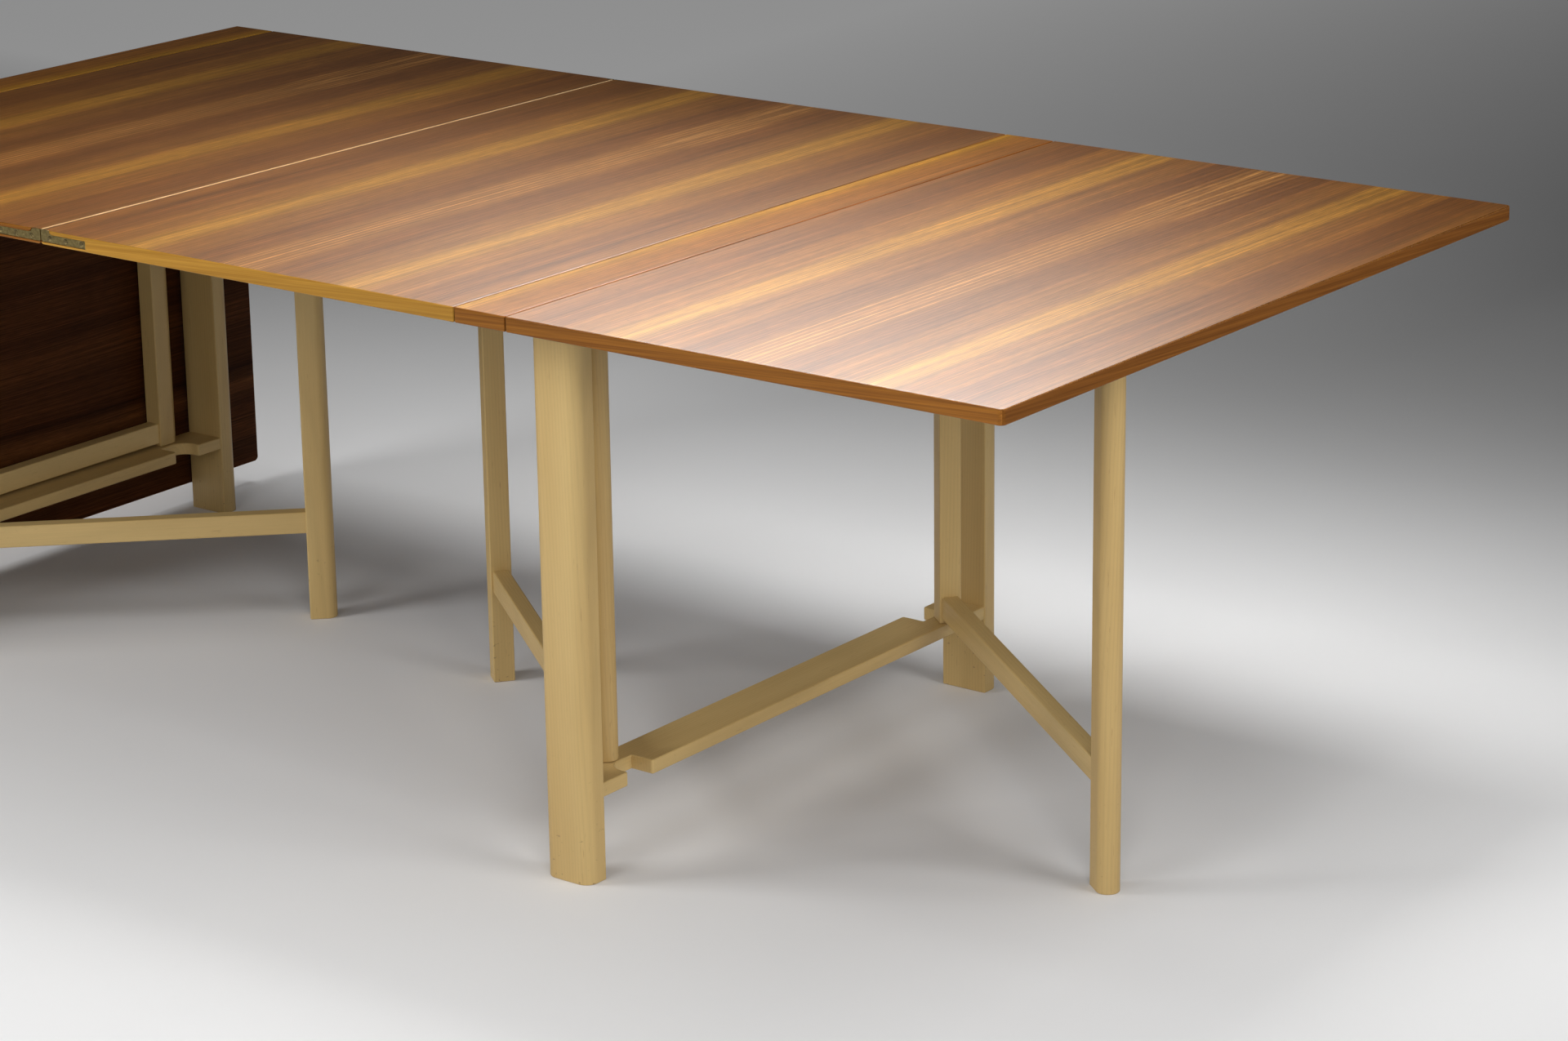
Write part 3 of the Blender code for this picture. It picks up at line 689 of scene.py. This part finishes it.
def leaf_figure(tint, length):
    """The pale lines of a leaf: a long V and a cluster at its middle, dashes, and two golden streaks."""
    line_colour, gold = tinted(FIGURE_LINE, tint), tinted(BRIGHT_GOLD, tint)

    def draw(wood, colour, across, along, laid):
        from_far = wood.math("ADD", along, length / 2)
        patches = wood.noise(laid, PATCHES_PER_METRE, detail=2)
        patchy = wood.spread(patches, *PATCH_LEVELS, *PATCH_SHARES)

        def line(colour, place, width, tone, strength):
            off = wood.math("ABSOLUTE", wood.math("SUBTRACT", across, place))
            share = wood.math("MULTIPLY", wood.spread(off, width, width * LINE_CORE), strength)
            return wood.mix(wood.math("MULTIPLY", share, patchy), colour, tone)

        count = wood.math("DIVIDE", across, LINE_SPACING)
        wave = wood.math("COSINE", wood.math("MULTIPLY", count, 2 * math.pi))
        near_middle = wood.spread(across, LINES_REACH, LINES_EDGE, 0.0, LINES_SHARE)
        crest = wood.math("MULTIPLY", wood.spread(wave, *LINE_CREST), near_middle)
        colour = wood.mix(wood.math("MULTIPLY", crest, patchy), colour, line_colour)
        vee = wood.spread(from_far, 0.0, VEE_LENGTH, VEE_OPENING, 0.0)
        vee_share = wood.spread(from_far, VEE_FADE, VEE_END, 1.0, VEE_LEFT)
        colour = line(colour, vee, VEE_WIDTH, line_colour, vee_share)
        comes, goes = (wood.spread(from_far, *places) for places in (DASH_COMES, DASH_GOES))
        colour = line(colour, DASH_PLACE, DASH_WIDTH, line_colour, wood.math("MULTIPLY", comes, goes))
        for far_place, near_place in GOLD_STREAKS:
            place = wood.spread(from_far, 0.0, length, far_place, near_place)
            colour = line(colour, place, GOLD_WIDTH, gold, GOLD_SHARE)
        return colour

    return draw


def leaf_veneer(name, width, length):
    tint = LEAF_TINTS[name]
    bands = tuple((at, tinted(colour, tint)) for at, colour in LEAF_BANDS)
    figure = leaf_figure(tint, length)
    return veneer_finish(f"leaf_veneer_{name}", bands, from_middle, width / 2, LEAF_WAVER, figure)


def plate_outline(start, end, bottom, body_top, top):
    """A folding hinge's plate by its distance from the seam and its height.

    It is low along the leaf, curves up to the top beside the seam, and is rounded below at the seam.
    """
    points = [(end, bottom), (end, body_top)]
    turns = [math.pi / 2 * step / UPSTAND_STEPS for step in range(UPSTAND_STEPS + 1)]
    for turn in turns:
        slope = (UPSTAND_FOOT - UPSTAND_TOP) * math.sin(turn)
        points.append((UPSTAND_FOOT - slope, top - (top - body_top) * math.cos(turn)))
    points.append((start, top))
    for turn in turns:
        across = start + PLATE_CORNER * (1 - math.cos(turn))
        points.append((across, bottom + PLATE_CORNER * (1 - math.sin(turn))))
    return points


def pocket_cutter(points, start, end):
    """A tool for cutting a pocket: an outline in X and Z, made solid between two places along Y."""
    shape = thick_outline(points, end - start)
    mesh = bpy.data.meshes.new("cutter")
    shape.to_mesh(mesh)
    shape.free()
    mesh.transform(Matrix.Translation((0, start, 0)))
    tool = bpy.data.objects.new("cutter", mesh)
    bpy.context.scene.collection.objects.link(tool)
    return tool


def near_and_far(low, high):
    """How close a box comes to the long middle line of the table, and how far it reaches from it."""
    return sorted((abs(low.y), abs(high.y)))


def hinge_pockets(side, out):
    """What is cut from an inner leaf at both ends of the middle seam for its plates and links."""
    tools = []
    for end_name, end in ENDS.items():
        low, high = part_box(f"middle_hinge_{end_name}_{side}_plate")
        link_low, link_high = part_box(f"middle_hinge_{end_name}_link")
        start = -POCKET_OPENING
        far = max(abs(low.x - seam), abs(high.x - seam)) + POCKET_PLAY
        body_top = low.z + PLATE_BODY + POCKET_PLAY
        plate = plate_outline(start, far, low.z - POCKET_PLAY, body_top, high.z + POCKET_OPENING)
        link_end = (link_high.x - link_low.x) / 2 + POCKET_PLAY
        bottom, top = link_low.z - POCKET_PLAY, link_high.z + POCKET_OPENING
        link = [(start, bottom), (link_end, bottom), (link_end, top), (start, top)]
        plate_near, plate_far = near_and_far(low, high)
        link_near = near_and_far(link_low, link_high)[0]
        face = end * (plate_far + POCKET_OPENING)
        for outline, near in ((plate, plate_near), (link, link_near)):
            back = end * (near - POCKET_PLAY)
            tools.append(pocket_cutter([(seam + out * x, z) for x, z in outline], *sorted((face, back))))
    return tools


seam = (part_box("inner_leaf_left")[1].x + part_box("inner_leaf_right")[0].x) / 2
for side, out in SIDES.items():
    node = f"inner_leaf_{side}"
    low, high = drawn_in(node, (-1, 1))
    size = high - low
    top = leaf_veneer(f"inner_{side}", size.x, size.y)
    # The left leaf's arris at the middle seam is painted pale: partly wear, partly painted highlight.
    worn_and_highlit_side = 1 if side == "left" else 0
    shape = board(size, seam_radius=SEAM_BOTTOM_ROUND, seam_side=-out, worn_and_highlit_side=worn_and_highlit_side)
    edges = honey_edges if side == "right" else red_edges
    place = Matrix.Translation((low + high) / 2) @ LEVEL
    veneered(node, shape, place, top, edges, hinge_pockets(side, out))


# End leaves
# The outer leaves are boards like the inner ones with two rounded corners. The right one is raised on its
# open gate, and the left one hangs from its hinges with its veneered face outwards.

CORNER_RADIUS = 0.007

for side, out in SIDES.items():
    node = f"end_leaf_{side}"
    low, high = drawn_in(node, (-1,) if side == "right" else ())
    size = high - low
    place = Matrix.Translation((low + high) / 2)
    if side == "left":
        size = Vector((size.z, size.y, size.x))
        place = place @ Matrix.Rotation(-math.pi / 2, 4, "Y")
    top = leaf_veneer(f"end_{side}", size.x, size.y)
    shape = board(size, CORNER_RADIUS, out)
    veneered(node, shape, place @ LEVEL, top, red_edges)


# Drop-leaf hinges
# Brass butt hinges are screwed under the seams beside both strips. The plate with two knuckles holds the
# pin and sits on the strip, and the plate with one knuckle turns with the leaf.

BRASS_BRIGHT = (0.520, 0.400, 0.165)
BRASS_DULL = (0.310, 0.235, 0.095)
# Near-black for a disc under each screw head and a block in its slot: painted shade of the countersink and
# the slot.
SCREW_SHADE = (0.090, 0.066, 0.034)
BRASS_CLOUDS_PER_METRE = (260, 260, 260)
BRASS_CLOUD_LEVELS = (0.35, 0.68)
BRASS_SCUFFS_PER_METRE = (300, 2400, 2400)
BRASS_SCUFF_SHADES = (0.88, 1.08)
BRASS_ROUGHNESS = (0.38, 0.55)
BRASS_RELIEF = 0.00004
SCREW_SHADE_SPECKS_PER_METRE = (900, 900, 900)
SCREW_SHADE_SPECK_SHADES = (0.7, 1.3)
SCREW_SHADE_ROUGHNESS = 0.7
SCREW_SHADE_RELIEF = 0.00003
HINGE_SEAMS = ("end", "inner")
HINGE_PLATES = ("strip_plate", "leaf_plate")
HINGE_FACE = 0.0038
HINGE_SCREW_SPACING = 0.020
HINGE_SCREW_INSET = 0.013
SCREW_RADIUS = 0.0033
SCREW_DOME = 0.0005
SCREW_SLOT = SCREW_RADIUS / 3.5
SCREW_SEED = 7
HEAD_SEGMENTS, HEAD_RINGS = 20, 10
SLOT_SHAPE, SLOT_SHADE_SHAPE = (3.0, 1.0, 2.0), (1.8, 1.0, 0.7)
SHADE_DISC_SEGMENTS, SHADE_DISC_RADIUS, SHADE_DISC_DEPTH = 24, 1.1, 0.2

metal = Finish("dull_brass", Metallic=1.0)
clouds = metal.noise(metal.place(), BRASS_CLOUDS_PER_METRE, detail=4, roughness=0.6)
scuffs = metal.noise(metal.place(), BRASS_SCUFFS_PER_METRE, detail=2)
colour = metal.mix(metal.spread(clouds, *BRASS_CLOUD_LEVELS), BRASS_BRIGHT, BRASS_DULL)
colour = metal.shade(colour, metal.ranged(scuffs, *BRASS_SCUFF_SHADES))
brass = metal.surface(colour, metal.ranged(clouds, *BRASS_ROUGHNESS), scuffs, BRASS_RELIEF)

# The painted shade of the screws' countersinks and slots.
metal = Finish("painted_screw_shade")
specks = metal.noise(metal.place(), SCREW_SHADE_SPECKS_PER_METRE, detail=2)
colour = metal.shade(SCREW_SHADE, metal.ranged(specks, *SCREW_SHADE_SPECK_SHADES))
painted_screw_shade = metal.surface(colour, SCREW_SHADE_ROUGHNESS, specks, SCREW_SHADE_RELIEF)


def screw_tree():
    """Geometry nodes that set a domed, slotted screw head on each point, square to the way it faces, over a
    dark disc and with a dark block in its slot, both painted shade.
    """
    tree = bpy.data.node_groups.new("slotted_screws", "GeometryNodeTree")
    tree.interface.new_socket("Places", in_out="INPUT", socket_type="NodeSocketGeometry")
    for name in ("Head Radius", "Dome Height", "Slot Width", "Slot Depth"):
        tree.interface.new_socket(name, in_out="INPUT", socket_type="NodeSocketFloat")
    tree.interface.new_socket("Seed", in_out="INPUT", socket_type="NodeSocketInt")
    for name in ("Finish", "Painted Shade"):
        tree.interface.new_socket(name, in_out="INPUT", socket_type="NodeSocketMaterial")
    tree.interface.new_socket("Screws", in_out="OUTPUT", socket_type="NodeSocketGeometry")
    given = tree.nodes.new("NodeGroupInput").outputs

    def add(kind, inputs, output=0, **settings):
        node = tree.nodes.new(kind)
        for setting, value in settings.items():
            setattr(node, setting, value)
        for socket, value in inputs.items():
            target = next(s for s in node.inputs if s.enabled and s.name == socket)
            if isinstance(value, bpy.types.NodeSocket):
                tree.links.new(value, target)
            else:
                target.default_value = value
        return [s for s in node.outputs if s.enabled][output]

    def combined(x, y, z):
        return add("ShaderNodeCombineXYZ", {"X": x, "Y": y, "Z": z})

    def joined(*parts):
        node = tree.nodes.new("GeometryNodeJoinGeometry")
        for part in parts:
            tree.links.new(part, node.inputs["Geometry"])
        return node.outputs["Geometry"]

    facing = add("GeometryNodeInputNamedAttribute", {"Name": "facing"}, data_type="FLOAT_VECTOR")
    upright = add("FunctionNodeAlignRotationToVector", {"Vector": facing}, axis="Z")
    angles = {"Min": 0.0, "Max": math.pi, "Seed": given["Seed"]}
    angle = add("FunctionNodeRandomValue", angles, data_type="FLOAT")
    spin = add("FunctionNodeAxisAngleToRotation", {"Axis": (0, 0, 1), "Angle": angle})
    turns = {"Rotation": upright, "Rotate By": spin}
    turned = add("FunctionNodeRotateRotation", turns, rotation_space="LOCAL")

    def on_points(shape, finish):
        """A shape set on each point, made one mesh and given its finish."""
        inputs = {"Points": given["Places"], "Instance": shape, "Rotation": turned}
        solid = add("GeometryNodeRealizeInstances", {"Geometry": add("GeometryNodeInstanceOnPoints", inputs)})
        return add("GeometryNodeSetMaterial", {"Geometry": solid, "Material": finish})

    ball = add("GeometryNodeMeshUVSphere", {"Segments": HEAD_SEGMENTS, "Rings": HEAD_RINGS, "Radius": 1.0})
    head_size = combined(given["Head Radius"], given["Head Radius"], given["Dome Height"])
    head = add("GeometryNodeTransform", {"Geometry": ball, "Scale": head_size})
    block = add("GeometryNodeMeshCube", {"Size": SLOT_SHAPE})
    slot_size = combined(given["Head Radius"], given["Slot Width"], given["Slot Depth"])
    slot_place = combined(0.0, 0.0, given["Dome Height"])
    slot = add("GeometryNodeTransform", {"Geometry": block, "Scale": slot_size, "Translation": slot_place})
    cut_head = add(
        "GeometryNodeMeshBoolean", {"Mesh 1": head, "Mesh 2": slot}, operation="DIFFERENCE", solver="EXACT"
    )
    # A dark disc under the head and a dark block in the slot, as painted shade.
    disc_size = {"Vertices": SHADE_DISC_SEGMENTS, "Radius": SHADE_DISC_RADIUS, "Depth": SHADE_DISC_DEPTH}
    disc = add("GeometryNodeMeshCylinder", disc_size)
    countersink_shade = add("GeometryNodeTransform", {"Geometry": disc, "Scale": head_size})
    block = add("GeometryNodeMeshCube", {"Size": SLOT_SHADE_SHAPE})
    slot_shade = add("GeometryNodeTransform", {"Geometry": block, "Scale": slot_size})
    screws = joined(on_points(cut_head, given["Finish"]), on_points(joined(countersink_shade, slot_shade), given["Painted Shade"]))
    tree.links.new(screws, tree.nodes.new("NodeGroupOutput").inputs["Screws"])
    return tree


slotted_screws = screw_tree()


def set_screws(name, places, body, dome):
    """Screws at some places, each given with the way it faces, as one piece on a body."""
    mesh = bpy.data.meshes.new(name)
    mesh.from_pydata([place for place, way in places], [], [])
    facing = mesh.attributes.new("facing", "FLOAT_VECTOR", "POINT")
    for entry, (place, way) in zip(facing.data, places):
        entry.vector = way
    piece = bpy.data.objects.new(name, mesh)
    bpy.context.scene.collection.objects.link(piece)
    modifier = piece.modifiers.new("Screws", "NODES")
    modifier.node_group = slotted_screws
    values = {
        "Head Radius": SCREW_RADIUS, "Dome Height": dome, "Slot Width": SCREW_SLOT,
        "Slot Depth": dome, "Seed": SCREW_SEED, "Finish": brass, "Painted Shade": painted_screw_shade,
    }
    for socket in slotted_screws.interface.items_tree:
        if socket.in_out == "INPUT" and socket.name in values:
            modifier[socket.identifier] = values[socket.name]
    settle(piece)
    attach(piece, body)


hinge_screws = {"root": [], "end_leaf_left": []}
for side, out in SIDES.items():
    for seam_name, end_name, plate in itertools.product(HINGE_SEAMS, ENDS, HINGE_PLATES):
        hinge = frame["nodes"][f"{seam_name}_hinge_{side}_{end_name}_{plate}"]
        hinge.data.materials.clear()
        hinge.data.materials.append(brass)
        low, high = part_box(hinge.name)
        body = hinge["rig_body"]
        outward = out * (1 if (seam_name == "end") == (plate == "leaf_plate") else -1)
        for step in (-1, 0, 1):
            y = (low.y + high.y) / 2 + step * HINGE_SCREW_SPACING
            if body == "root":
                x = high.x - HINGE_SCREW_INSET if outward > 0 else low.x + HINGE_SCREW_INSET
                hinge_screws[body].append(((x, y, low.z + HINGE_FACE), (0, 0, -1)))
            else:
                hinge_screws[body].append(((high.x - HINGE_FACE, y, low.z + HINGE_SCREW_INSET), (1, 0, 0)))
for body, places in hinge_screws.items():
    set_screws(f"hinge_screws_{body}", places, body, SCREW_DOME)


# Middle hinges
# A brass plate let into the end of each inner leaf turns on a link beside the seam, so that the two leaves
# can fold up together. Each plate is held by three slotted brass screws.

METAL_EASING = 0.0003
METAL_STEPS = 2
PLATE_SCREWS = (0.0157, 0.0434, 0.0704)
LINK_CORNER = 0.003


def brass_piece(node, points, start, end):
    """A flat brass piece from an outline in X and Z, between two places along Y."""
    shape = thick_outline(points, end - start)
    soften(shape, [e for e in shape.edges if e.calc_face_angle() > SQUARE_EDGE], METAL_EASING, METAL_STEPS)
    return make_piece(node, "brass", shape, Matrix.Translation((0, start, 0)), [brass])


plate_screws = []
for end_name, end in ENDS.items():
    for side, out in SIDES.items():
        node = f"middle_hinge_{end_name}_{side}_plate"
        low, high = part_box(node)
        start, stop = sorted((abs(low.x - seam), abs(high.x - seam)))
        outline = plate_outline(start + SEAM_DRAW, stop, low.z, low.z + PLATE_BODY, high.z)
        near, far = near_and_far(low, high)
        face, back = end * (far - PLATE_RECESS), end * near
        brass_piece(node, [(seam + out * x, z) for x, z in outline], *sorted((face, back)))
        height = low.z + PLATE_BODY / 2
        plate_screws += [((seam + out * x, face, height), (0, end, 0)) for x in PLATE_SCREWS]
    node = f"middle_hinge_{end_name}_link"
    low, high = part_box(node)
    half = (high.x - low.x) / 2
    outline = [(-half, high.z), (-half, low.z + LINK_CORNER), (LINK_CORNER - half, low.z)]
    outline += [(half - LINK_CORNER, low.z), (half, low.z + LINK_CORNER), (half, high.z)]
    plate_near = near_and_far(*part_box(f"middle_hinge_{end_name}_left_plate"))[0]
    link_near = near_and_far(low, high)[0]
    face, back = end * (plate_near - POCKET_PLAY), end * link_near
    brass_piece(node, [(seam + x, z) for x, z in outline], *sorted((face, back)))
set_screws("middle_hinge_screws", plate_screws, "root", PLATE_RECESS)


# Floor
# A plain pale studio floor. Far behind the table it carries on as a grey backdrop, made paler to the left
# by a painted glow, and well away from the table on every side it glows. The glow is only seen, and throws
# no light on the table.

FLOOR_REACH = 30.0
FLOOR_PALE = (0.85, 0.85, 0.85)
FLOOR_ROUGHNESS = 0.7
FLOOR_RELIEF = 0.0001
MOTTLES_PER_METRE, MOTTLE_SHADES = (3, 3, 3), (0.985, 1.0)
BACKDROP_GLOW = 0.225
BACKDROP_START, BACKDROP_FULL = 1.6, 2.8
BACKDROP_DARK_X, BACKDROP_PALE_X = 0.0, -2.6
SURROUND_GLOW = 0.40
SURROUNDINGS = (("Y", 5.4, 7.4), ("Y", -3.4, -6.0), ("X", 1.8, 4.2), ("X", -4.8, -6.8))

paint = Finish("studio_floor")
mottle = paint.noise(paint.place(), MOTTLES_PER_METRE, detail=2)
colour = paint.shade(FLOOR_PALE, paint.ranged(mottle, *MOTTLE_SHADES))
far_off = paint.spread(paint.axis(paint.place(), "Y"), BACKDROP_START, BACKDROP_FULL)
to_left = paint.spread(paint.axis(paint.place(), "X"), BACKDROP_DARK_X, BACKDROP_PALE_X, 0.0, BACKDROP_GLOW)
rays = paint.tree.nodes.new("ShaderNodeLightPath").outputs
seen = paint.math("MAXIMUM", rays["Is Camera Ray"], rays["Is Glossy Ray"])
seen = paint.math("MAXIMUM", seen, rays["Is Transmission Ray"])
paint.feed(paint.shader.inputs["Emission Color"], (1.0, 1.0, 1.0))
glow = paint.math("MULTIPLY", far_off, to_left)
for letter, start, full in SURROUNDINGS:
    beyond = paint.spread(paint.axis(paint.place(), letter), start, full, 0.0, SURROUND_GLOW)
    glow = paint.math("MAXIMUM", glow, beyond)
paint.feed(paint.shader.inputs["Emission Strength"], paint.math("MULTIPLY", seen, glow))
floor_mesh = bpy.data.meshes.new("floor")
corners = [(x * FLOOR_REACH, y * FLOOR_REACH, 0.0) for x, y in ((-1, -1), (1, -1), (1, 1), (-1, 1))]
floor_mesh.from_pydata(corners, [], [(0, 1, 2, 3)])
floor_mesh.materials.append(paint.surface(colour, FLOOR_ROUGHNESS, mottle, FLOOR_RELIEF))
floor = bpy.data.objects.new("floor", floor_mesh)
bpy.context.scene.collection.objects.link(floor)


# Lights
# Four low softboxes stand in front and at the right. The others hang above and are screened, as with flags
# in a studio: some keep to the table, and alone lie as a sheen on its top, and some keep to the floor.

SOFTBOXES = {
    "right": ((3.22, 0.0, 1.60), (0.3, 0.0, 0.3), (1.2, 1.2), 180, 26.5, "all"),
    "front_right": ((2.37, -2.07, 1.60), (0.3, 0.0, 0.3), (1.2, 1.2), 180, 30.5, "all"),
    "front": ((0.30, -2.92, 1.60), (0.3, 0.0, 0.3), (1.2, 1.2), 180, 13.5, "all"),
    "front_left": ((-1.77, -2.07, 1.60), (0.3, 0.0, 0.3), (1.2, 1.2), 180, 40.0, "all"),
    "key": ((-0.44, 1.13, 2.16), (0.46, -0.95, 0.72), (1.31, 0.42), 66, 9.4, "table"),
    "overhead": ((0.75, -0.60, 2.80), (0.75, -0.60, 0.0), (1.2, 1.2), 60, 5.1, "table"),
    "overhead_far": ((0.30, 0.40, 2.80), (0.30, 0.40, 0.0), (1.2, 1.2), 60, 1.3, "table"),
    "behind": ((-1.52, 1.92, 2.21), (0.8, -0.2, 0.72), (1.9, 1.07), 180, 0.7, "table"),
    "pool": ((0.36, 0.36, 2.25), (0.36, 0.36, 0.0), (0.9, 0.9), 70, 5.7, "floor"),
    "pool_left": ((-0.86, 0.70, 2.97), (-0.86, 0.70, 0.0), (1.0, 1.0), 80, 6.6, "floor"),
    "pool_near": ((0.45, -1.95, 3.40), (0.45, -1.95, 0.0), (1.2, 1.2), 60, 6.1, "floor"),
    "pool_right": ((1.60, 0.45, 2.40), (1.60, 0.45, 0.0), (0.7, 0.7), 70, 2.6, "floor"),
}
FILL_LEVEL = 0.028
BACKDROP_LEVEL = 0.03

screens = {}
for kept_to, link_state in (("floor", "INCLUDE"), ("table", "EXCLUDE")):
    screens[kept_to] = bpy.data.collections.new(f"light_kept_to_{kept_to}")
    screens[kept_to].objects.link(floor)
    screens[kept_to].collection_objects[0].light_linking.link_state = link_state

for name, (place, target, size, spread, power, kept_to) in SOFTBOXES.items():
    lamp = bpy.data.lights.new(name, "AREA")
    lamp.shape = "RECTANGLE"
    lamp.size, lamp.size_y = size
    lamp.spread = math.radians(spread)
    lamp.energy = power
    softbox = bpy.data.objects.new(name, lamp)
    softbox.location = place
    softbox.rotation_euler = (Vector(target) - Vector(place)).to_track_quat("-Z", "Y").to_euler()
    softbox.light_linking.receiver_collection = screens.get(kept_to)
    softbox.visible_glossy = kept_to == "table"
    bpy.context.scene.collection.objects.link(softbox)

world = bpy.data.worlds.new("studio")
world.use_nodes = True
sky = world.node_tree
rays = sky.nodes.new("ShaderNodeLightPath")
seen = rays.outputs["Is Camera Ray"]
for kind in ("Is Glossy Ray", "Is Transmission Ray"):
    either = sky.nodes.new("ShaderNodeMath")
    either.operation = "MAXIMUM"
    sky.links.new(seen, either.inputs[0])
    sky.links.new(rays.outputs[kind], either.inputs[1])
    seen = either.outputs[0]
level = sky.nodes.new("ShaderNodeMapRange")
sky.links.new(seen, level.inputs["Value"])
level.inputs["To Min"].default_value = FILL_LEVEL
level.inputs["To Max"].default_value = BACKDROP_LEVEL
sky.links.new(level.outputs[0], sky.nodes["Background"].inputs["Strength"])
sky.nodes["Background"].inputs["Color"].default_value = (1.0, 1.0, 1.0, 1.0)
bpy.context.scene.world = world
bpy.context.scene.view_settings.view_transform = "Standard"


# Camera
# It stands in front of the table and to the right, more than a metre above its top, and looks down on it
# through a long lens. Part of the table's left end is outside the view.

CAMERA_PLACE = (3.3355, -3.8749, 1.8667)
CAMERA_TURN = math.radians(37.304)
CAMERA_DOWN = math.radians(17.432)
CAMERA_ROLL = math.radians(0.788)
CAMERA_LENS = 95.0
SENSOR_WIDTH = 36.0

lens = bpy.data.cameras.new("camera")
lens.lens = CAMERA_LENS
lens.sensor_width = SENSOR_WIDTH
camera = bpy.data.objects.new("camera", lens)
camera.matrix_world = (
    Matrix.Translation(CAMERA_PLACE)
    @ Matrix.Rotation(CAMERA_TURN, 4, "Z")
    @ Matrix.Rotation(math.pi / 2 - CAMERA_DOWN, 4, "X")
    @ Matrix.Rotation(-CAMERA_ROLL, 4, "Z")
)
bpy.context.scene.collection.objects.link(camera)
bpy.context.scene.camera = camera
